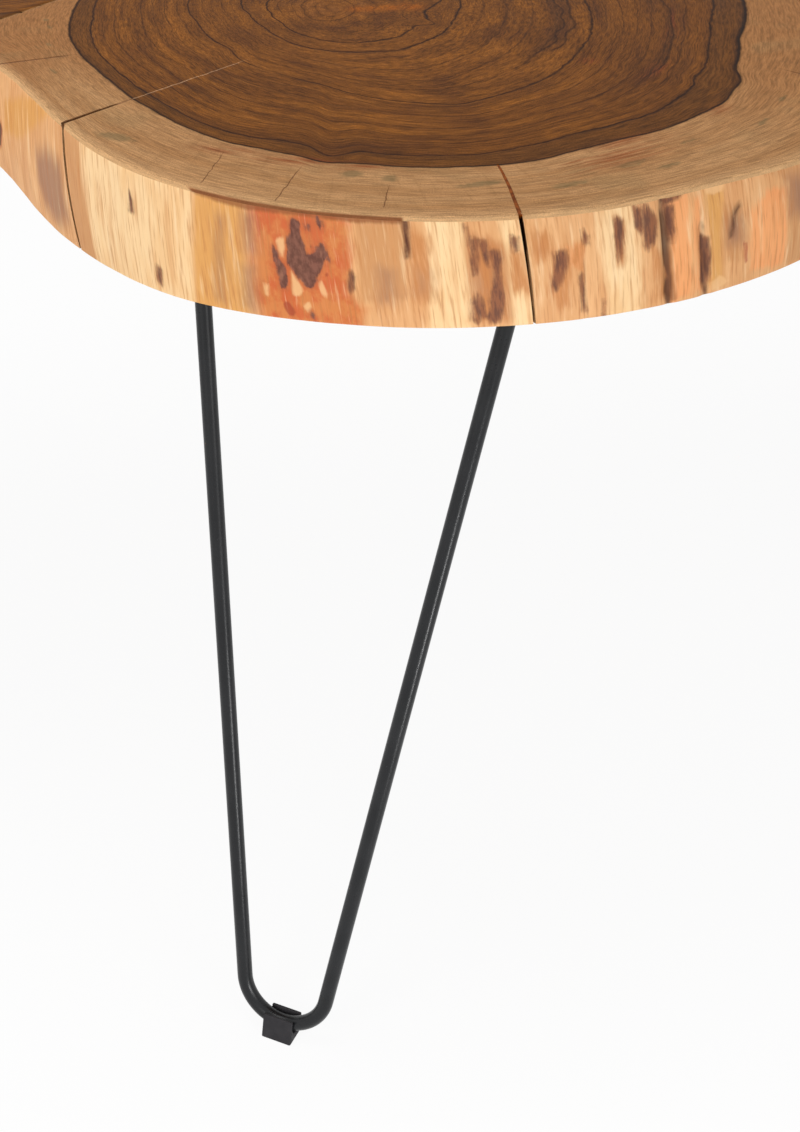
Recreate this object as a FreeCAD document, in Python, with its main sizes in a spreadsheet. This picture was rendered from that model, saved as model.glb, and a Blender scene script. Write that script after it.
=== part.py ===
import FreeCAD, Part
import math
import os
import Sketcher
from FreeCAD import Placement, Rotation, Vector

# Coffee table: three live-edge tree slices doweled and glued edge to edge, on three steel hairpin legs.
# The origin is on the floor below the middle of the table, +X runs along the table and +Z up.

doc = FreeCAD.newDocument("coffee_table")
sheet = doc.addObject("Spreadsheet::Sheet", "sizes")

# How far, as a share, a straight or level thing may be out
STRAIGHT_SHARE = 0.001

X_AXIS = Vector(1, 0, 0)
Z_AXIS = Vector(0, 0, 1)
FLAT = Rotation()

# Driving dimensions, in millimetres and degrees
SIZES = {
    # The top, and the points where the three glued joints run
    "table_height": 460,
    "top_thickness": 48,
    "rim_ease": 1.5,
    "saw_reach": 1500,
    "cut_over": 5,
    "middle_joint_x": -43,
    "middle_joint_y": 51,
    "left_joint_x": -188.4,
    "left_joint_y": -144.5,
    "right_joint_x": 295.6,
    "right_joint_y": -53.5,
    "back_joint_x": -50.4,
    "back_joint_y": 266.5,
    # Each slice: where its pith is, how far its rim reaches, and how the rim flares down and bellies
    "front_pith_x": 8.6,
    "front_pith_y": -90.5,
    "front_reach": 280,
    "left_pith_x": -251.4,
    "left_pith_y": 54.5,
    "left_reach": 250,
    "right_pith_x": 194.6,
    "right_pith_y": 131.5,
    "right_reach": 280,
    "rim_flare": 9,
    "rim_belly": 1.5,
    # Drying checks that run in from the rim towards the pith
    "front_check_angle": -72.9,
    "front_check_lean_angle": 1.6,
    "front_check_swing_angle": -11,
    "front_check_run": 52,
    "front_check_width": 3,
    "front_check_tip_width": 1.5,
    "left_check_angle": -126.6,
    "left_check_lean_angle": 5.6,
    "left_check_swing_angle": -5.5,
    "left_check_run": 32,
    "left_check_width": 1.6,
    "left_check_tip_width": 0.5,
    "filler_depth": 8,
    "filler_setback": 15.5,
    "filler_shrinkage": 0.15,
    # Dowels in the glued joints
    "dowel_radius": 6,
    "dowel_length": 60,
    "dowel_clearance": 0.15,
    "hole_end_space": 1,
    # Hairpin rods
    "rod_radius": 4,
    "bend_radius": 24,
    "rod_spread": 158,
    "rod_rise": 8,
    "lean_angle": 14.3,
    "front_foot_angle": -96.66,
    "front_foot_inset": 7.5,
    "front_leg_angle": -24,
    "left_foot_angle": 167.21,
    "left_foot_inset": 15.2,
    "left_leg_angle": -110,
    "right_foot_angle": 22.38,
    "right_foot_inset": 4.2,
    "right_leg_angle": 125,
    # Mounting plates and the welds under them
    "plate_half_length": 95,
    "plate_half_width": 20,
    "plate_thickness": 4,
    "plate_corner": 8,
    "weld_leg": 3,
    "weld_toe": 0.6,
    "weld_run": 4.5,
    "weld_over": 2,
    # Screws through the plates
    "screw_across": 52,
    "screw_side": 11,
    "screw_hole_radius": 2.75,
    "screw_head_radius": 4.75,
    "screw_head_height": 2.6,
    "screw_shank_radius": 2.25,
    "screw_length": 26,
    "screw_tip": 6,
    "pilot_clearance": 0.15,
    # Clip-on rubber feet
    "foot_wall": 1.8,
    "foot_length": 17,
    "foot_lip": 4.8,
    "foot_clearance": 0.2,
    "foot_round": 0.8,
}

for row, (alias, value) in enumerate(SIZES.items(), start=1):
    sheet.set("A%d" % row, alias)
    sheet.set("B%d" % row, str(value))
    sheet.setAlias("B%d" % row, alias)
doc.recompute()


def size(alias):
    """One size, read from the sheet."""
    return float(sheet.get(alias))


def signed(words):
    """The sizes named in words, each with its sign: a leading minus takes one away."""
    return [(-1 if word.startswith("-") else 1, word.lstrip("-")) for word in words.split()]


def total(words):
    return sum(sign * size(alias) for sign, alias in signed(words))


def formula(words):
    """The same sum as an expression on the sheet, turned positive where the sum is below zero."""
    side = -1 if total(words) < 0 else 1
    terms = ["%s sizes.%s" % ("+" if sign * side > 0 else "-", alias) for sign, alias in signed(words)]
    return " ".join(terms).removeprefix("+ ")


def place(x, y, z, axis=Z_AXIS, turn=0):
    """A placement at a point, turned by degrees about an axis."""
    return Placement(Vector(x, y, z), Rotation(axis, turn))


# Sketches on a body's own planes, with every corner tied to the sheet

def plane_sketch(body, plane, name, offset=None):
    sketch = body.newObject("Sketcher::SketchObject", name)
    origin_plane = [item for item in body.Origin.OriginFeatures if item.Role == plane][0]
    sketch.AttachmentSupport = [(origin_plane, "")]
    sketch.MapMode = "FlatFace"
    if offset is not None:
        sketch.AttachmentOffset = offset
    return sketch


def tie(sketch, kind, words, *points):
    """A dimension from the sketch's origin to a point, or a radius, bound to the sheet."""
    value = total(words)
    if kind.startswith("Distance"):
        geometry, end = points
        if value < 0:
            link = Sketcher.Constraint(kind, geometry, end, -1, 1, -value)
        else:
            link = Sketcher.Constraint(kind, -1, 1, geometry, end, value)
    else:
        link = Sketcher.Constraint(kind, points[0], value)
    index = sketch.addConstraint(link)
    sketch.setExpression("Constraints[%d]" % index, formula(words))


def tie_point(sketch, geometry, end, across, up):
    """Ties one end of a line, or a circle's centre, to sums of sizes; None means on that axis."""
    for kind, words, axis in (("DistanceX", across, -2), ("DistanceY", up, -1)):
        if words is None:
            sketch.addConstraint(Sketcher.Constraint("PointOnObject", geometry, end, axis))
        else:
            tie(sketch, kind, words, geometry, end)


def polygon(sketch, corners):
    """A closed outline of straight lines through corners given as sums of sizes."""
    points = [Vector(total(across or ""), total(up or ""), 0) for across, up in corners]
    count = len(points)
    for index in range(count):
        line = Part.LineSegment(points[index], points[(index + 1) % count])
        sketch.addGeometry(line)
    for index, (across, up) in enumerate(corners):
        sketch.addConstraint(Sketcher.Constraint("Coincident", index, 2, (index + 1) % count, 1))
        tie_point(sketch, index, 1, across, up)


def circles(sketch, centres, radius):
    """Circles of one radius, the radius and each centre given as sums of sizes."""
    for across, up in centres:
        centre = Vector(total(across or ""), total(up or ""), 0)
        index = sketch.addGeometry(Part.Circle(centre, Z_AXIS, total(radius)))
        tie_point(sketch, index, 3, across, up)
        tie(sketch, "Radius", radius, index)


def feature(body, kind, name, sketch, **bound):
    """A feature made from a sketch, its numbers bound to sums of sizes."""
    made = body.newObject("PartDesign::" + kind, name)
    made.Profile = sketch
    for prop, words in bound.items():
        made.setExpression(prop, formula(words))
    return made


# The three slices: natural rims round their piths, sawn along straight joints

# Rows of angle round the pith, share of the slice's reach at the upper rim, and share of the flare below
FRONT_RIM_SHARES = [
    (-165, 0.729, 0.8), (-152, 0.643, 0.7), (-140, 0.650, 0.9), (-127, 0.700, 1.0),
    (-116, 0.766, 0.8), (-105, 0.827, 0.8), (-92, 0.889, 0.3), (-79, 0.936, 0.1),
    (-65, 0.968, 0.2), (-54, 0.979, 0.5), (-45, 1.005, 0.1), (-30, 1.027, 0.0),
    (-12, 1.035, 0.3), (7, 1.032, 0.6), (28, 1.010, 0.5), (55, 0.975, 0.4),
    (85, 0.940, 0.4), (115, 0.920, 0.5), (145, 0.890, 0.6), (172, 0.820, 0.7),
]
LEFT_RIM_SHARES = [
    (-72, 0.836, 0.8), (-90, 0.850, 0.5), (-108, 0.876, 0.3), (-126, 0.880, 0.6),
    (-145, 0.912, 0.9), (-165, 0.926, 0.5), (178, 0.922, 0.2), (160, 0.945, 0.5),
    (140, 0.950, 0.9), (120, 0.992, 0.6), (100, 1.012, 0.3), (82, 1.060, 0.5),
    (64, 1.110, 0.8), (46, 1.168, 0.5), (20, 1.150, 0.4), (-5, 1.060, 0.4),
    (-30, 0.930, 0.5), (-53, 0.860, 0.6),
]
RIGHT_RIM_SHARES = [
    (-61, 0.752, 0.6), (-45, 0.836, 0.4), (-28, 0.920, 0.2), (-12, 0.990, 0.5),
    (3, 1.030, 0.9), (18, 1.036, 0.6), (35, 1.004, 0.3), (53, 0.950, 0.5),
    (70, 0.868, 0.9), (88, 0.836, 0.6), (106, 0.828, 0.3), (123, 0.882, 0.5),
    (138, 0.948, 0.8), (151, 1.000, 0.5), (172, 0.990, 0.4), (-165, 0.920, 0.4),
    (-140, 0.800, 0.4), (-112, 0.720, 0.4), (-85, 0.700, 0.5),
]

TOP = size("table_height")
UNDER = TOP - size("top_thickness")
MIDDLE = Vector(size("middle_joint_x"), size("middle_joint_y"), 0)
JOINTS = {
    "left": Vector(size("left_joint_x"), size("left_joint_y"), 0),
    "right": Vector(size("right_joint_x"), size("right_joint_y"), 0),
    "back": Vector(size("back_joint_x"), size("back_joint_y"), 0),
}


def pith(slice_name):
    return Vector(size(slice_name + "_pith_x"), size(slice_name + "_pith_y"), 0)


def rim(slice_name, shares, height, flare, belly):
    """A smooth closed rim round the pith at one height."""
    centre = pith(slice_name)
    points = []
    for angle, reach_share, flare_share in shares:
        reach = size(slice_name + "_reach") * reach_share + flare * flare_share + belly
        turn = math.radians(angle)
        points.append(centre + Vector(reach * math.cos(turn), reach * math.sin(turn), height))
    curve = Part.BSplineCurve()
    curve.interpolate(points, PeriodicFlag=True)
    return Part.Wire(curve.toShape())


def part_feature(name, shape):
    made = doc.addObject("Part::Feature", name)
    made.Shape = shape
    return made


def blank(slice_name, shares):
    """The whole slice before it is sawn: its flared lower rim, a belly, its upper rim and an eased edge."""
    flare = size("rim_flare")
    ease = size("rim_ease")
    levels = [
        rim(slice_name, shares, UNDER, flare, 0),
        rim(slice_name, shares, (UNDER + TOP) / 2, flare / 2, size("rim_belly")),
        rim(slice_name, shares, TOP - ease, 0, 0),
        rim(slice_name, shares, TOP, 0, -ease),
    ]
    return part_feature(slice_name + "_blank", Part.makeLoft(levels, True, True))


def saw_cut(slice_name, first, second):
    """The wedge between two joints, which is what the saw leaves of a slice."""
    over = size("cut_over")
    corners = [MIDDLE]
    for end in (JOINTS[first], JOINTS[second]):
        along = end - MIDDLE
        along.normalize()
        corners.append(MIDDLE + along * size("saw_reach"))
    outline = Part.makePolygon([corner + Z_AXIS * (UNDER - over) for corner in corners + corners[:1]])
    wedge = Part.Face(outline).extrude(Z_AXIS * (TOP - UNDER + 2 * over))
    return part_feature(slice_name + "_saw_cut", wedge)


def boolean(kind, name, base, tool):
    made = doc.addObject("Part::" + kind, name)
    made.Base = base
    made.Tool = tool
    return made


def compound(name, links):
    made = doc.addObject("Part::Compound", name)
    made.Links = links
    return made


def cylinder(name, radius, height, placement):
    """A cylinder whose radius and height are sums of sizes."""
    made = doc.addObject("Part::Cylinder", name)
    made.setExpression("Radius", formula(radius))
    made.setExpression("Height", formula(height))
    made.Placement = placement
    return made


# Drying checks: thin wedges that open at the rim and close towards the pith

def unit(angle):
    return Vector(math.cos(math.radians(angle)), math.sin(math.radians(angle)), 0)


def rim_shares_at(shares, angle):
    """The share of the reach and of the flare at any angle, read between the rows of a rim."""
    for first, second in zip(shares, shares[1:]):
        if first[0] <= angle <= second[0]:
            along = (angle - first[0]) / (second[0] - first[0])
            return [low + (high - low) * along for low, high in zip(first[1:], second[1:])]
    raise RuntimeError("no rim at %s degrees" % angle)


def check_outline(name, shares, height, pulled_in=0):
    """One check's wedge at a height. It leans with the fibres and swings off the way to the pith."""
    down = (TOP - height) / (TOP - UNDER)
    angle = size(name + "_check_angle") + size(name + "_check_lean_angle") * down
    reach_share, flare_share = rim_shares_at(shares, angle)
    rim_reach = size("front_reach") * reach_share + size("rim_flare") * flare_share * down
    mouth = pith("front") + unit(angle) * rim_reach + Z_AXIS * height
    outward = unit(angle + size(name + "_check_swing_angle"))
    sideways = Z_AXIS.cross(outward)
    run = size(name + "_check_run") - pulled_in
    wide = size(name + "_check_width") / 2 - pulled_in
    narrow = size(name + "_check_tip_width") / 2 - pulled_in
    over = size("cut_over")
    outer = wide + (wide - narrow) * over / run
    corners = [(-run, -narrow), (over, -outer), (over, outer), (-run, narrow), (-run, -narrow)]
    return Part.makePolygon([mouth + outward * out + sideways * side for out, side in corners])


def check_wedge(piece, name, shares, pulled_in=0):
    """The wedge of one check through the whole thickness of the front slice."""
    over = size("cut_over")
    ends = [check_outline(name, shares, height, pulled_in) for height in (UNDER - over, TOP + over)]
    return part_feature(piece, Part.makeLoft(ends, True, True))


def crack_filler(shares):
    """The hardened filler in the upper part of the front check, short of the rim."""
    wedge = check_wedge("filler_wedge", "front", shares, size("filler_shrinkage"))
    base = Placement(pith("front") + Z_AXIS * (TOP - size("filler_depth")), FLAT)
    round_bar = cylinder("filler_reach", "front_reach -filler_setback", "filler_depth", base)
    return boolean("Common", "crack_filler", wedge, round_bar)


# Dowels: each joint has a row of them, square to the joint and at half the thickness

DOWEL_SHARES = (0.28, 0.74)


def dowel_form():
    """One plain dowel, standing with its middle at the origin."""
    body = doc.addObject("PartDesign::Body", "dowel_form")
    sketch = plane_sketch(body, "XY_Plane", "dowel_round")
    circles(sketch, [(None, None)], "dowel_radius")
    pad = feature(body, "Pad", "dowel_pad", sketch, Length="dowel_length")
    pad.SideType = "Symmetric"
    doc.recompute()
    return body


def dowel_places(joint):
    """The dowels' middles along one joint, each dowel lying square to it."""
    along = JOINTS[joint] - MIDDLE
    lying = Rotation(Z_AXIS, Vector(along.y, -along.x, 0))
    half_height = Z_AXIS * ((UNDER + TOP) / 2)
    return [Placement(MIDDLE + along * share + half_height, lying) for share in DOWEL_SHARES]


def dowel_holes(joint):
    """Blind holes for one row of dowels, a little wider and longer than the dowels."""
    holes = []
    for number, spot in enumerate(dowel_places(joint), start=1):
        start = spot.multiply(place(0, 0, -size("dowel_length") / 2 - size("hole_end_space")))
        length = "dowel_length hole_end_space hole_end_space"
        name = "%s_dowel_hole_%d" % (joint, number)
        holes.append(cylinder(name, "dowel_radius dowel_clearance", length, start))
    return holes


def group(name, form, places):
    """Copies of one form as the separate solids of one sub-part."""
    copies = []
    for spot in places:
        copy = form.Shape.copy()
        copy.Placement = spot
        copies.append(copy)
    return part_feature(name, Part.makeCompound(copies))


# Hairpin legs: each is drawn on its own foot, +X along its plate and +Y towards the middle of the table

LEAN = math.radians(size("lean_angle"))
PLATE_UNDER = UNDER - size("plate_thickness")
PLATE_HEIGHT = "table_height -top_thickness -plate_thickness"
LEGS = ("front", "left", "right")


def up_the_lean(height):
    """The distance in the leaning plane from the rod's lowest point up to a height."""
    return (height - size("rod_rise")) / math.cos(LEAN)


def inward(height):
    """How far the leaning plane has moved towards the table at a height."""
    return (height - size("rod_rise")) * math.tan(LEAN)


def rod_flare():
    """The angle between each straight rod and the middle line of its hairpin."""
    across = size("rod_spread") / 2
    above_bend = up_the_lean(UNDER) - size("bend_radius")
    slope = math.atan2(above_bend, across)
    return math.acos(size("bend_radius") / math.hypot(across, above_bend)) - slope


def foot_place(leg):
    """A foot's place on the floor, measured from its slice's pith towards the rim, and its turn."""
    towards_rim = math.radians(size(leg + "_foot_angle"))
    reach = size(leg + "_reach") - size(leg + "_foot_inset")
    centre = pith(leg)
    across = centre.x + reach * math.cos(towards_rim)
    back = centre.y + reach * math.sin(towards_rim)
    return place(across, back, 0, Z_AXIS, size(leg + "_leg_angle"))


def leaning_sketch(body, plane, name, lean_axis):
    """A sketch with its origin at the rod's lowest point, leaning as the leg does."""
    offset = place(0, size("rod_rise"), 0, lean_axis, size("lean_angle"))
    sketch = plane_sketch(body, plane, name, offset)
    sketch.setExpression(".AttachmentOffset.Base.y", formula("rod_rise"))
    sketch.setExpression(".AttachmentOffset.Rotation.Angle", formula("lean_angle"))
    return sketch


def square(sketch, half):
    """A square about the sketch's origin, half a side given as a sum of sizes."""
    low = " ".join("-" + word for word in half.split())
    polygon(sketch, [(low, low), (half, low), (half, half), (low, half)])


def rod_path(body, leg):
    """Half the rod's middle line: a quarter bend from the foot, then straight up to the table."""
    path = leaning_sketch(body, "XZ_Plane", leg + "_rod_path", -X_AXIS)
    bend = size("bend_radius")
    flare = rod_flare()
    corner = Vector(bend * math.cos(flare), bend - bend * math.sin(flare), 0)
    far = Vector(size("rod_spread") / 2, up_the_lean(UNDER), 0)
    round_bend = Part.Circle(Vector(0, bend, 0), Z_AXIS, bend)
    path.addGeometry(Part.ArcOfCircle(round_bend, -math.pi / 2, -flare))
    path.addGeometry(Part.LineSegment(corner, far))
    path.addConstraint(Sketcher.Constraint("Coincident", 0, 1, -1, 1))
    path.addConstraint(Sketcher.Constraint("PointOnObject", 0, 3, -2))
    path.addConstraint(Sketcher.Constraint("Tangent", 0, 2, 1, 1))
    tie(path, "Radius", "bend_radius", 0)
    across = path.addConstraint(Sketcher.Constraint("DistanceX", -1, 1, 1, 2, far.x))
    path.setExpression("Constraints[%d]" % across, "sizes.rod_spread / 2")
    up = path.addConstraint(Sketcher.Constraint("DistanceY", -1, 1, 1, 2, far.y))
    height = formula("table_height -top_thickness -rod_rise")
    path.setExpression("Constraints[%d]" % up, "(%s) / cos(sizes.lean_angle * 1 deg)" % height)
    return path


def hairpin_rod(leg):
    """Half the rod swept from the foot, mirrored into a hairpin and trimmed flush under the plate."""
    body = doc.addObject("PartDesign::Body", leg + "_hairpin_rod")
    path = rod_path(body, leg)
    section = plane_sketch(body, "YZ_Plane", leg + "_rod_section")
    circles(section, [(None, "rod_rise")], "rod_radius")
    pipe = body.newObject("PartDesign::AdditivePipe", leg + "_rod_half")
    pipe.Profile = section
    pipe.Spine = path
    doc.recompute()
    mirror = body.newObject("PartDesign::Mirrored", leg + "_rod_mirror")
    mirror.Originals = [pipe]
    side = [item for item in body.Origin.OriginFeatures if item.Role == "YZ_Plane"][0]
    mirror.MirrorPlane = (side, [""])
    body.Tip = mirror
    doc.recompute()
    untrimmed = body.Shape.Volume
    trim = plane_sketch(body, "XY_Plane", leg + "_rod_trim_line", place(0, 0, PLATE_UNDER))
    trim.setExpression(".AttachmentOffset.Base.z", formula(PLATE_HEIGHT))
    square(trim, "plate_half_length plate_half_length")
    pocket = feature(body, "Pocket", leg + "_rod_trim", trim, Length="top_thickness")
    pocket.Reversed = True
    doc.recompute()
    if body.Shape.Volume >= untrimmed:
        raise RuntimeError(leg + " rod was not trimmed")
    body.Placement = foot_place(leg)
    return body


def edges_along(shape, direction):
    """The names of a shape's straight edges that run along a direction."""
    names = []
    for index, edge in enumerate(shape.Edges, start=1):
        line = edge.lastVertex().Point - edge.firstVertex().Point
        if abs(abs(line.dot(direction)) - edge.Length) < abs(line.dot(direction)) * STRAIGHT_SHARE:
            names.append("Edge%d" % index)
    return names


def mounting_plate(leg):
    """A flat steel bar with rounded corners and four screw holes, over the two rod ends."""
    body = doc.addObject("PartDesign::Body", leg + "_mounting_plate")
    centre = place(0, inward(PLATE_UNDER), PLATE_UNDER)
    reach = "(%s) * tan(sizes.lean_angle * 1 deg)" % formula(PLATE_HEIGHT + " -rod_rise")
    outline = plane_sketch(body, "XY_Plane", leg + "_plate_outline", centre)
    centres = plane_sketch(body, "XY_Plane", leg + "_plate_hole_centres", centre)
    for sketch in (outline, centres):
        sketch.setExpression(".AttachmentOffset.Base.y", reach)
        sketch.setExpression(".AttachmentOffset.Base.z", formula(PLATE_HEIGHT))
    polygon(outline, [
        ("-plate_half_length", "-plate_half_width"),
        ("plate_half_length", "-plate_half_width"),
        ("plate_half_length", "plate_half_width"),
        ("-plate_half_length", "plate_half_width"),
    ])
    bar = feature(body, "Pad", leg + "_plate_bar", outline, Length="plate_thickness")
    doc.recompute()
    corners = body.newObject("PartDesign::Fillet", leg + "_plate_corners")
    corners.Base = (bar, edges_along(bar.Shape, Z_AXIS))
    corners.setExpression("Radius", formula("plate_corner"))
    doc.recompute()
    solid_bar = body.Shape.Volume
    circles(centres, SCREW_CENTRES, "screw_hole_radius")
    holes = feature(body, "Pocket", leg + "_plate_holes", centres, Length="plate_thickness")
    holes.Reversed = True
    doc.recompute()
    if body.Shape.Volume >= solid_bar:
        raise RuntimeError(leg + " plate has no holes")
    body.Placement = foot_place(leg)
    return body


SCREW_CENTRES = [
    ("-screw_across", "-screw_side"),
    ("screw_across", "-screw_side"),
    ("screw_across", "screw_side"),
    ("-screw_across", "screw_side"),
]


def screw_form():
    """One pan-head wood screw, point up, with the seat of its head at the origin."""
    body = doc.addObject("PartDesign::Body", "screw_form")
    sketch = plane_sketch(body, "XZ_Plane", "screw_section")
    polygon(sketch, [
        (None, "-screw_head_height"),
        ("screw_head_radius", "-screw_head_height"),
        ("screw_head_radius", None),
        ("screw_shank_radius", None),
        ("screw_shank_radius", "screw_length -screw_tip"),
        (None, "screw_length"),
    ])
    turned = body.newObject("PartDesign::Revolution", "screw_turned")
    turned.Profile = sketch
    turned.ReferenceAxis = (sketch, ["V_Axis"])
    doc.recompute()
    return body


def screw_places(leg):
    """The seats of one plate's four screws, on the plate's underside."""
    seats = []
    for across, side in SCREW_CENTRES:
        seat = place(total(across), inward(PLATE_UNDER) + total(side), PLATE_UNDER)
        seats.append(foot_place(leg).multiply(seat))
    return seats


def pilot_holes(leg):
    """The holes that one plate's screws fill in the slice above."""
    holes = []
    radius = "screw_shank_radius pilot_clearance"
    for number, seat in enumerate(screw_places(leg), start=1):
        name = "%s_pilot_hole_%d" % (leg, number)
        holes.append(cylinder(name, radius, "screw_length hole_end_space", seat))
    return holes


def weld_beads(leg, rod, plate):
    """Two conical fillets of weld, one round each rod end under the plate."""
    flare = rod_flare()
    height_gap = up_the_lean(UNDER) - up_the_lean(PLATE_UNDER)
    across = size("rod_spread") / 2 - height_gap * math.tan(flare)
    beads = []
    for number, side in enumerate((-1, 1), start=1):
        root = Vector(side * across, inward(PLATE_UNDER), PLATE_UNDER)
        up = Vector(
            side * math.sin(flare),
            math.cos(flare) * math.sin(LEAN),
            math.cos(flare) * math.cos(LEAN),
        )
        bead = doc.addObject("Part::Cone", "%s_bead_%d" % (leg, number))
        bead.setExpression("Radius1", formula("rod_radius weld_leg"))
        bead.setExpression("Radius2", formula("rod_radius weld_toe"))
        bead.setExpression("Height", formula("weld_run weld_over"))
        down = Rotation(Z_AXIS, up * -1)
        bead.Placement = foot_place(leg).multiply(Placement(root + up * size("weld_over"), down))
        beads.append(bead)
    pair = compound(leg + "_bead_cones", beads)
    steel = compound(leg + "_welded_steel", [rod, plate])
    return boolean("Cut", leg + "_weld_beads", pair, steel)


def foot_cap(leg):
    """A rubber block cut level below, with a round-bottomed slot that clips over the rod's bend."""
    body = doc.addObject("PartDesign::Body", leg + "_foot_cap")
    half = "rod_radius foot_clearance foot_wall"
    deep = "-rod_rise -rod_radius"
    block = leaning_sketch(body, "YZ_Plane", leg + "_foot_block_end", -Z_AXIS)
    low = " ".join("-" + word for word in half.split())
    polygon(block, [(low, deep), (half, deep), (half, "foot_lip"), (low, "foot_lip")])
    pad = feature(body, "Pad", leg + "_foot_block", block, Length="foot_length")
    pad.SideType = "Symmetric"
    doc.recompute()
    edges = body.newObject("PartDesign::Fillet", leg + "_foot_edges")
    edges.Base = (pad, edges_along(pad.Shape, Vector(0, math.sin(LEAN), math.cos(LEAN))))
    edges.setExpression("Radius", formula("foot_round"))
    floor = plane_sketch(body, "XY_Plane", leg + "_foot_floor_line")
    square(floor, "foot_length foot_length")
    feature(body, "Pocket", leg + "_foot_level", floor, Length="foot_length")
    bottom = leaning_sketch(body, "YZ_Plane", leg + "_slot_bottom_end", -Z_AXIS)
    circles(bottom, [(None, None)], "rod_radius foot_clearance")
    slot = leaning_sketch(body, "YZ_Plane", leg + "_slot_walls_end", -Z_AXIS)
    inner = "rod_radius foot_clearance"
    inner_low = "-rod_radius -foot_clearance"
    mouth = "foot_lip foot_lip"
    polygon(slot, [(inner_low, None), (inner, None), (inner, mouth), (inner_low, mouth)])
    for number, sketch in enumerate((bottom, slot), start=1):
        channel = feature(body, "Pocket", "%s_foot_slot_%d" % (leg, number), sketch, Length="foot_length")
        channel.SideType = "Symmetric"
        channel.setExpression("Length", "2 * sizes.foot_length")
    doc.recompute()
    if abs(body.Shape.optimalBoundingBox().ZMin) > size("foot_round") * STRAIGHT_SHARE:
        raise RuntimeError(leg + " foot is not level with the floor")
    body.Placement = foot_place(leg)
    return body


# The whole table

def sawn_slice(slice_name, shares, joints, cuts):
    """A blank sawn to its two joints, then drilled and slotted."""
    sawn = boolean("Common", slice_name + "_sawn", blank(slice_name, shares), saw_cut(slice_name, *joints))
    return boolean("Cut", slice_name + "_slice", sawn, compound(slice_name + "_cuts", cuts))


holes = {joint: dowel_holes(joint) for joint in JOINTS}
slots = [check_wedge(check + "_check_slot", check, FRONT_RIM_SHARES) for check in ("front", "left")]
front_cuts = holes["left"] + holes["right"] + pilot_holes("front") + slots
sawn_slice("front", FRONT_RIM_SHARES, ("left", "right"), front_cuts)
for side, shares in (("left", LEFT_RIM_SHARES), ("right", RIGHT_RIM_SHARES)):
    sawn_slice(side, shares, (side, "back"), holes[side] + holes["back"] + pilot_holes(side))
crack_filler(FRONT_RIM_SHARES)
doc.recompute()

dowel = dowel_form()
for joint in JOINTS:
    group(joint + "_joint_dowels", dowel, dowel_places(joint))

screw = screw_form()
for leg in LEGS:
    rod = hairpin_rod(leg)
    plate = mounting_plate(leg)
    doc.recompute()
    weld_beads(leg, rod, plate)
    group(leg + "_plate_screws", screw, screw_places(leg))
    foot_cap(leg)
doc.recompute()

NODES = ["front_slice", "left_slice", "right_slice", "crack_filler"]
NODES += [joint + "_joint_dowels" for joint in JOINTS]
for leg in LEGS:
    for piece in ("hairpin_rod", "mounting_plate", "weld_beads", "plate_screws", "foot_cap"):
        NODES.append("%s_%s" % (leg, piece))

for item in doc.Objects:
    if "Invalid" in item.State or "Error" in item.State:
        raise RuntimeError("%s failed: %s" % (item.Name, item.State))

os.makedirs("parts", exist_ok=True)
whole = FreeCAD.BoundBox()
for name in NODES:
    item = doc.getObject(name)
    item.Label = name
    if item.Shape.isNull() or not item.Shape.isValid():
        raise RuntimeError(name + " has no valid shape")
    whole.add(item.Shape.optimalBoundingBox())
    item.Shape.exportStep("parts/%s.step" % name)
    print("%-24s %d solids %10.0f mm3" % (name, len(item.Shape.Solids), item.Shape.Volume))
print("overall %.2f x %.2f x %.2f" % (whole.XLength, whole.YLength, whole.ZLength))
print("middle %.2f, %.2f, lowest %.3f" % (whole.Center.x, whole.Center.y, whole.ZMin))
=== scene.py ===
# %% [markdown]
# # A live-edge table on hairpin legs
# The real thing is three slices of tree trunk, glued edge to edge, on three bent steel rods.
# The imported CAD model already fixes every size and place. This lesson dresses it: fine meshes
# where the CAD is plain, and procedural finishes on everything, with no picture files.
# Lengths inside the lesson are in millimetres, and turn into metres where a mesh is made.

import math
from collections import namedtuple

import bmesh
import bpy
import numpy as np
from mathutils import Matrix, Vector
from mathutils.geometry import delaunay_2d_cdt


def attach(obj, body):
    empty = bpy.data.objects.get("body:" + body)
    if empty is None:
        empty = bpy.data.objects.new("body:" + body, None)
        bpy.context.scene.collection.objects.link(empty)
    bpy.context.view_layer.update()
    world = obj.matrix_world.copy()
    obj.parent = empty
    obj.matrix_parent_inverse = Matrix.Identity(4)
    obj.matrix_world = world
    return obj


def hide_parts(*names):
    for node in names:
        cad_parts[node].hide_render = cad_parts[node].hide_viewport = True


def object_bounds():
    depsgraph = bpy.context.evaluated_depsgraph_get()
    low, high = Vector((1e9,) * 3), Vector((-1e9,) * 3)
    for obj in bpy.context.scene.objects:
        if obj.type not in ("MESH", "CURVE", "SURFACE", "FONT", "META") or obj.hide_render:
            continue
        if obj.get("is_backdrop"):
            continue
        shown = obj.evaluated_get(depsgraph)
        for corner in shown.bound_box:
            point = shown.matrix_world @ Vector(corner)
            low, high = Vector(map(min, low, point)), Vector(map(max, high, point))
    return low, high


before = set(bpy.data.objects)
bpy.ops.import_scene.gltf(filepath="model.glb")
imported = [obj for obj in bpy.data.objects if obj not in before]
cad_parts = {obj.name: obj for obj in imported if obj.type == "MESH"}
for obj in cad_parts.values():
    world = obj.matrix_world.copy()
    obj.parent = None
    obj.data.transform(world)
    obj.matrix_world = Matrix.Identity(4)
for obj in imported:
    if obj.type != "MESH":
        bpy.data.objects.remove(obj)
cad_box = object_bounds()
print("CAD table, metres:", [round(high - low, 4) for low, high in zip(*cad_box)])

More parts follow.
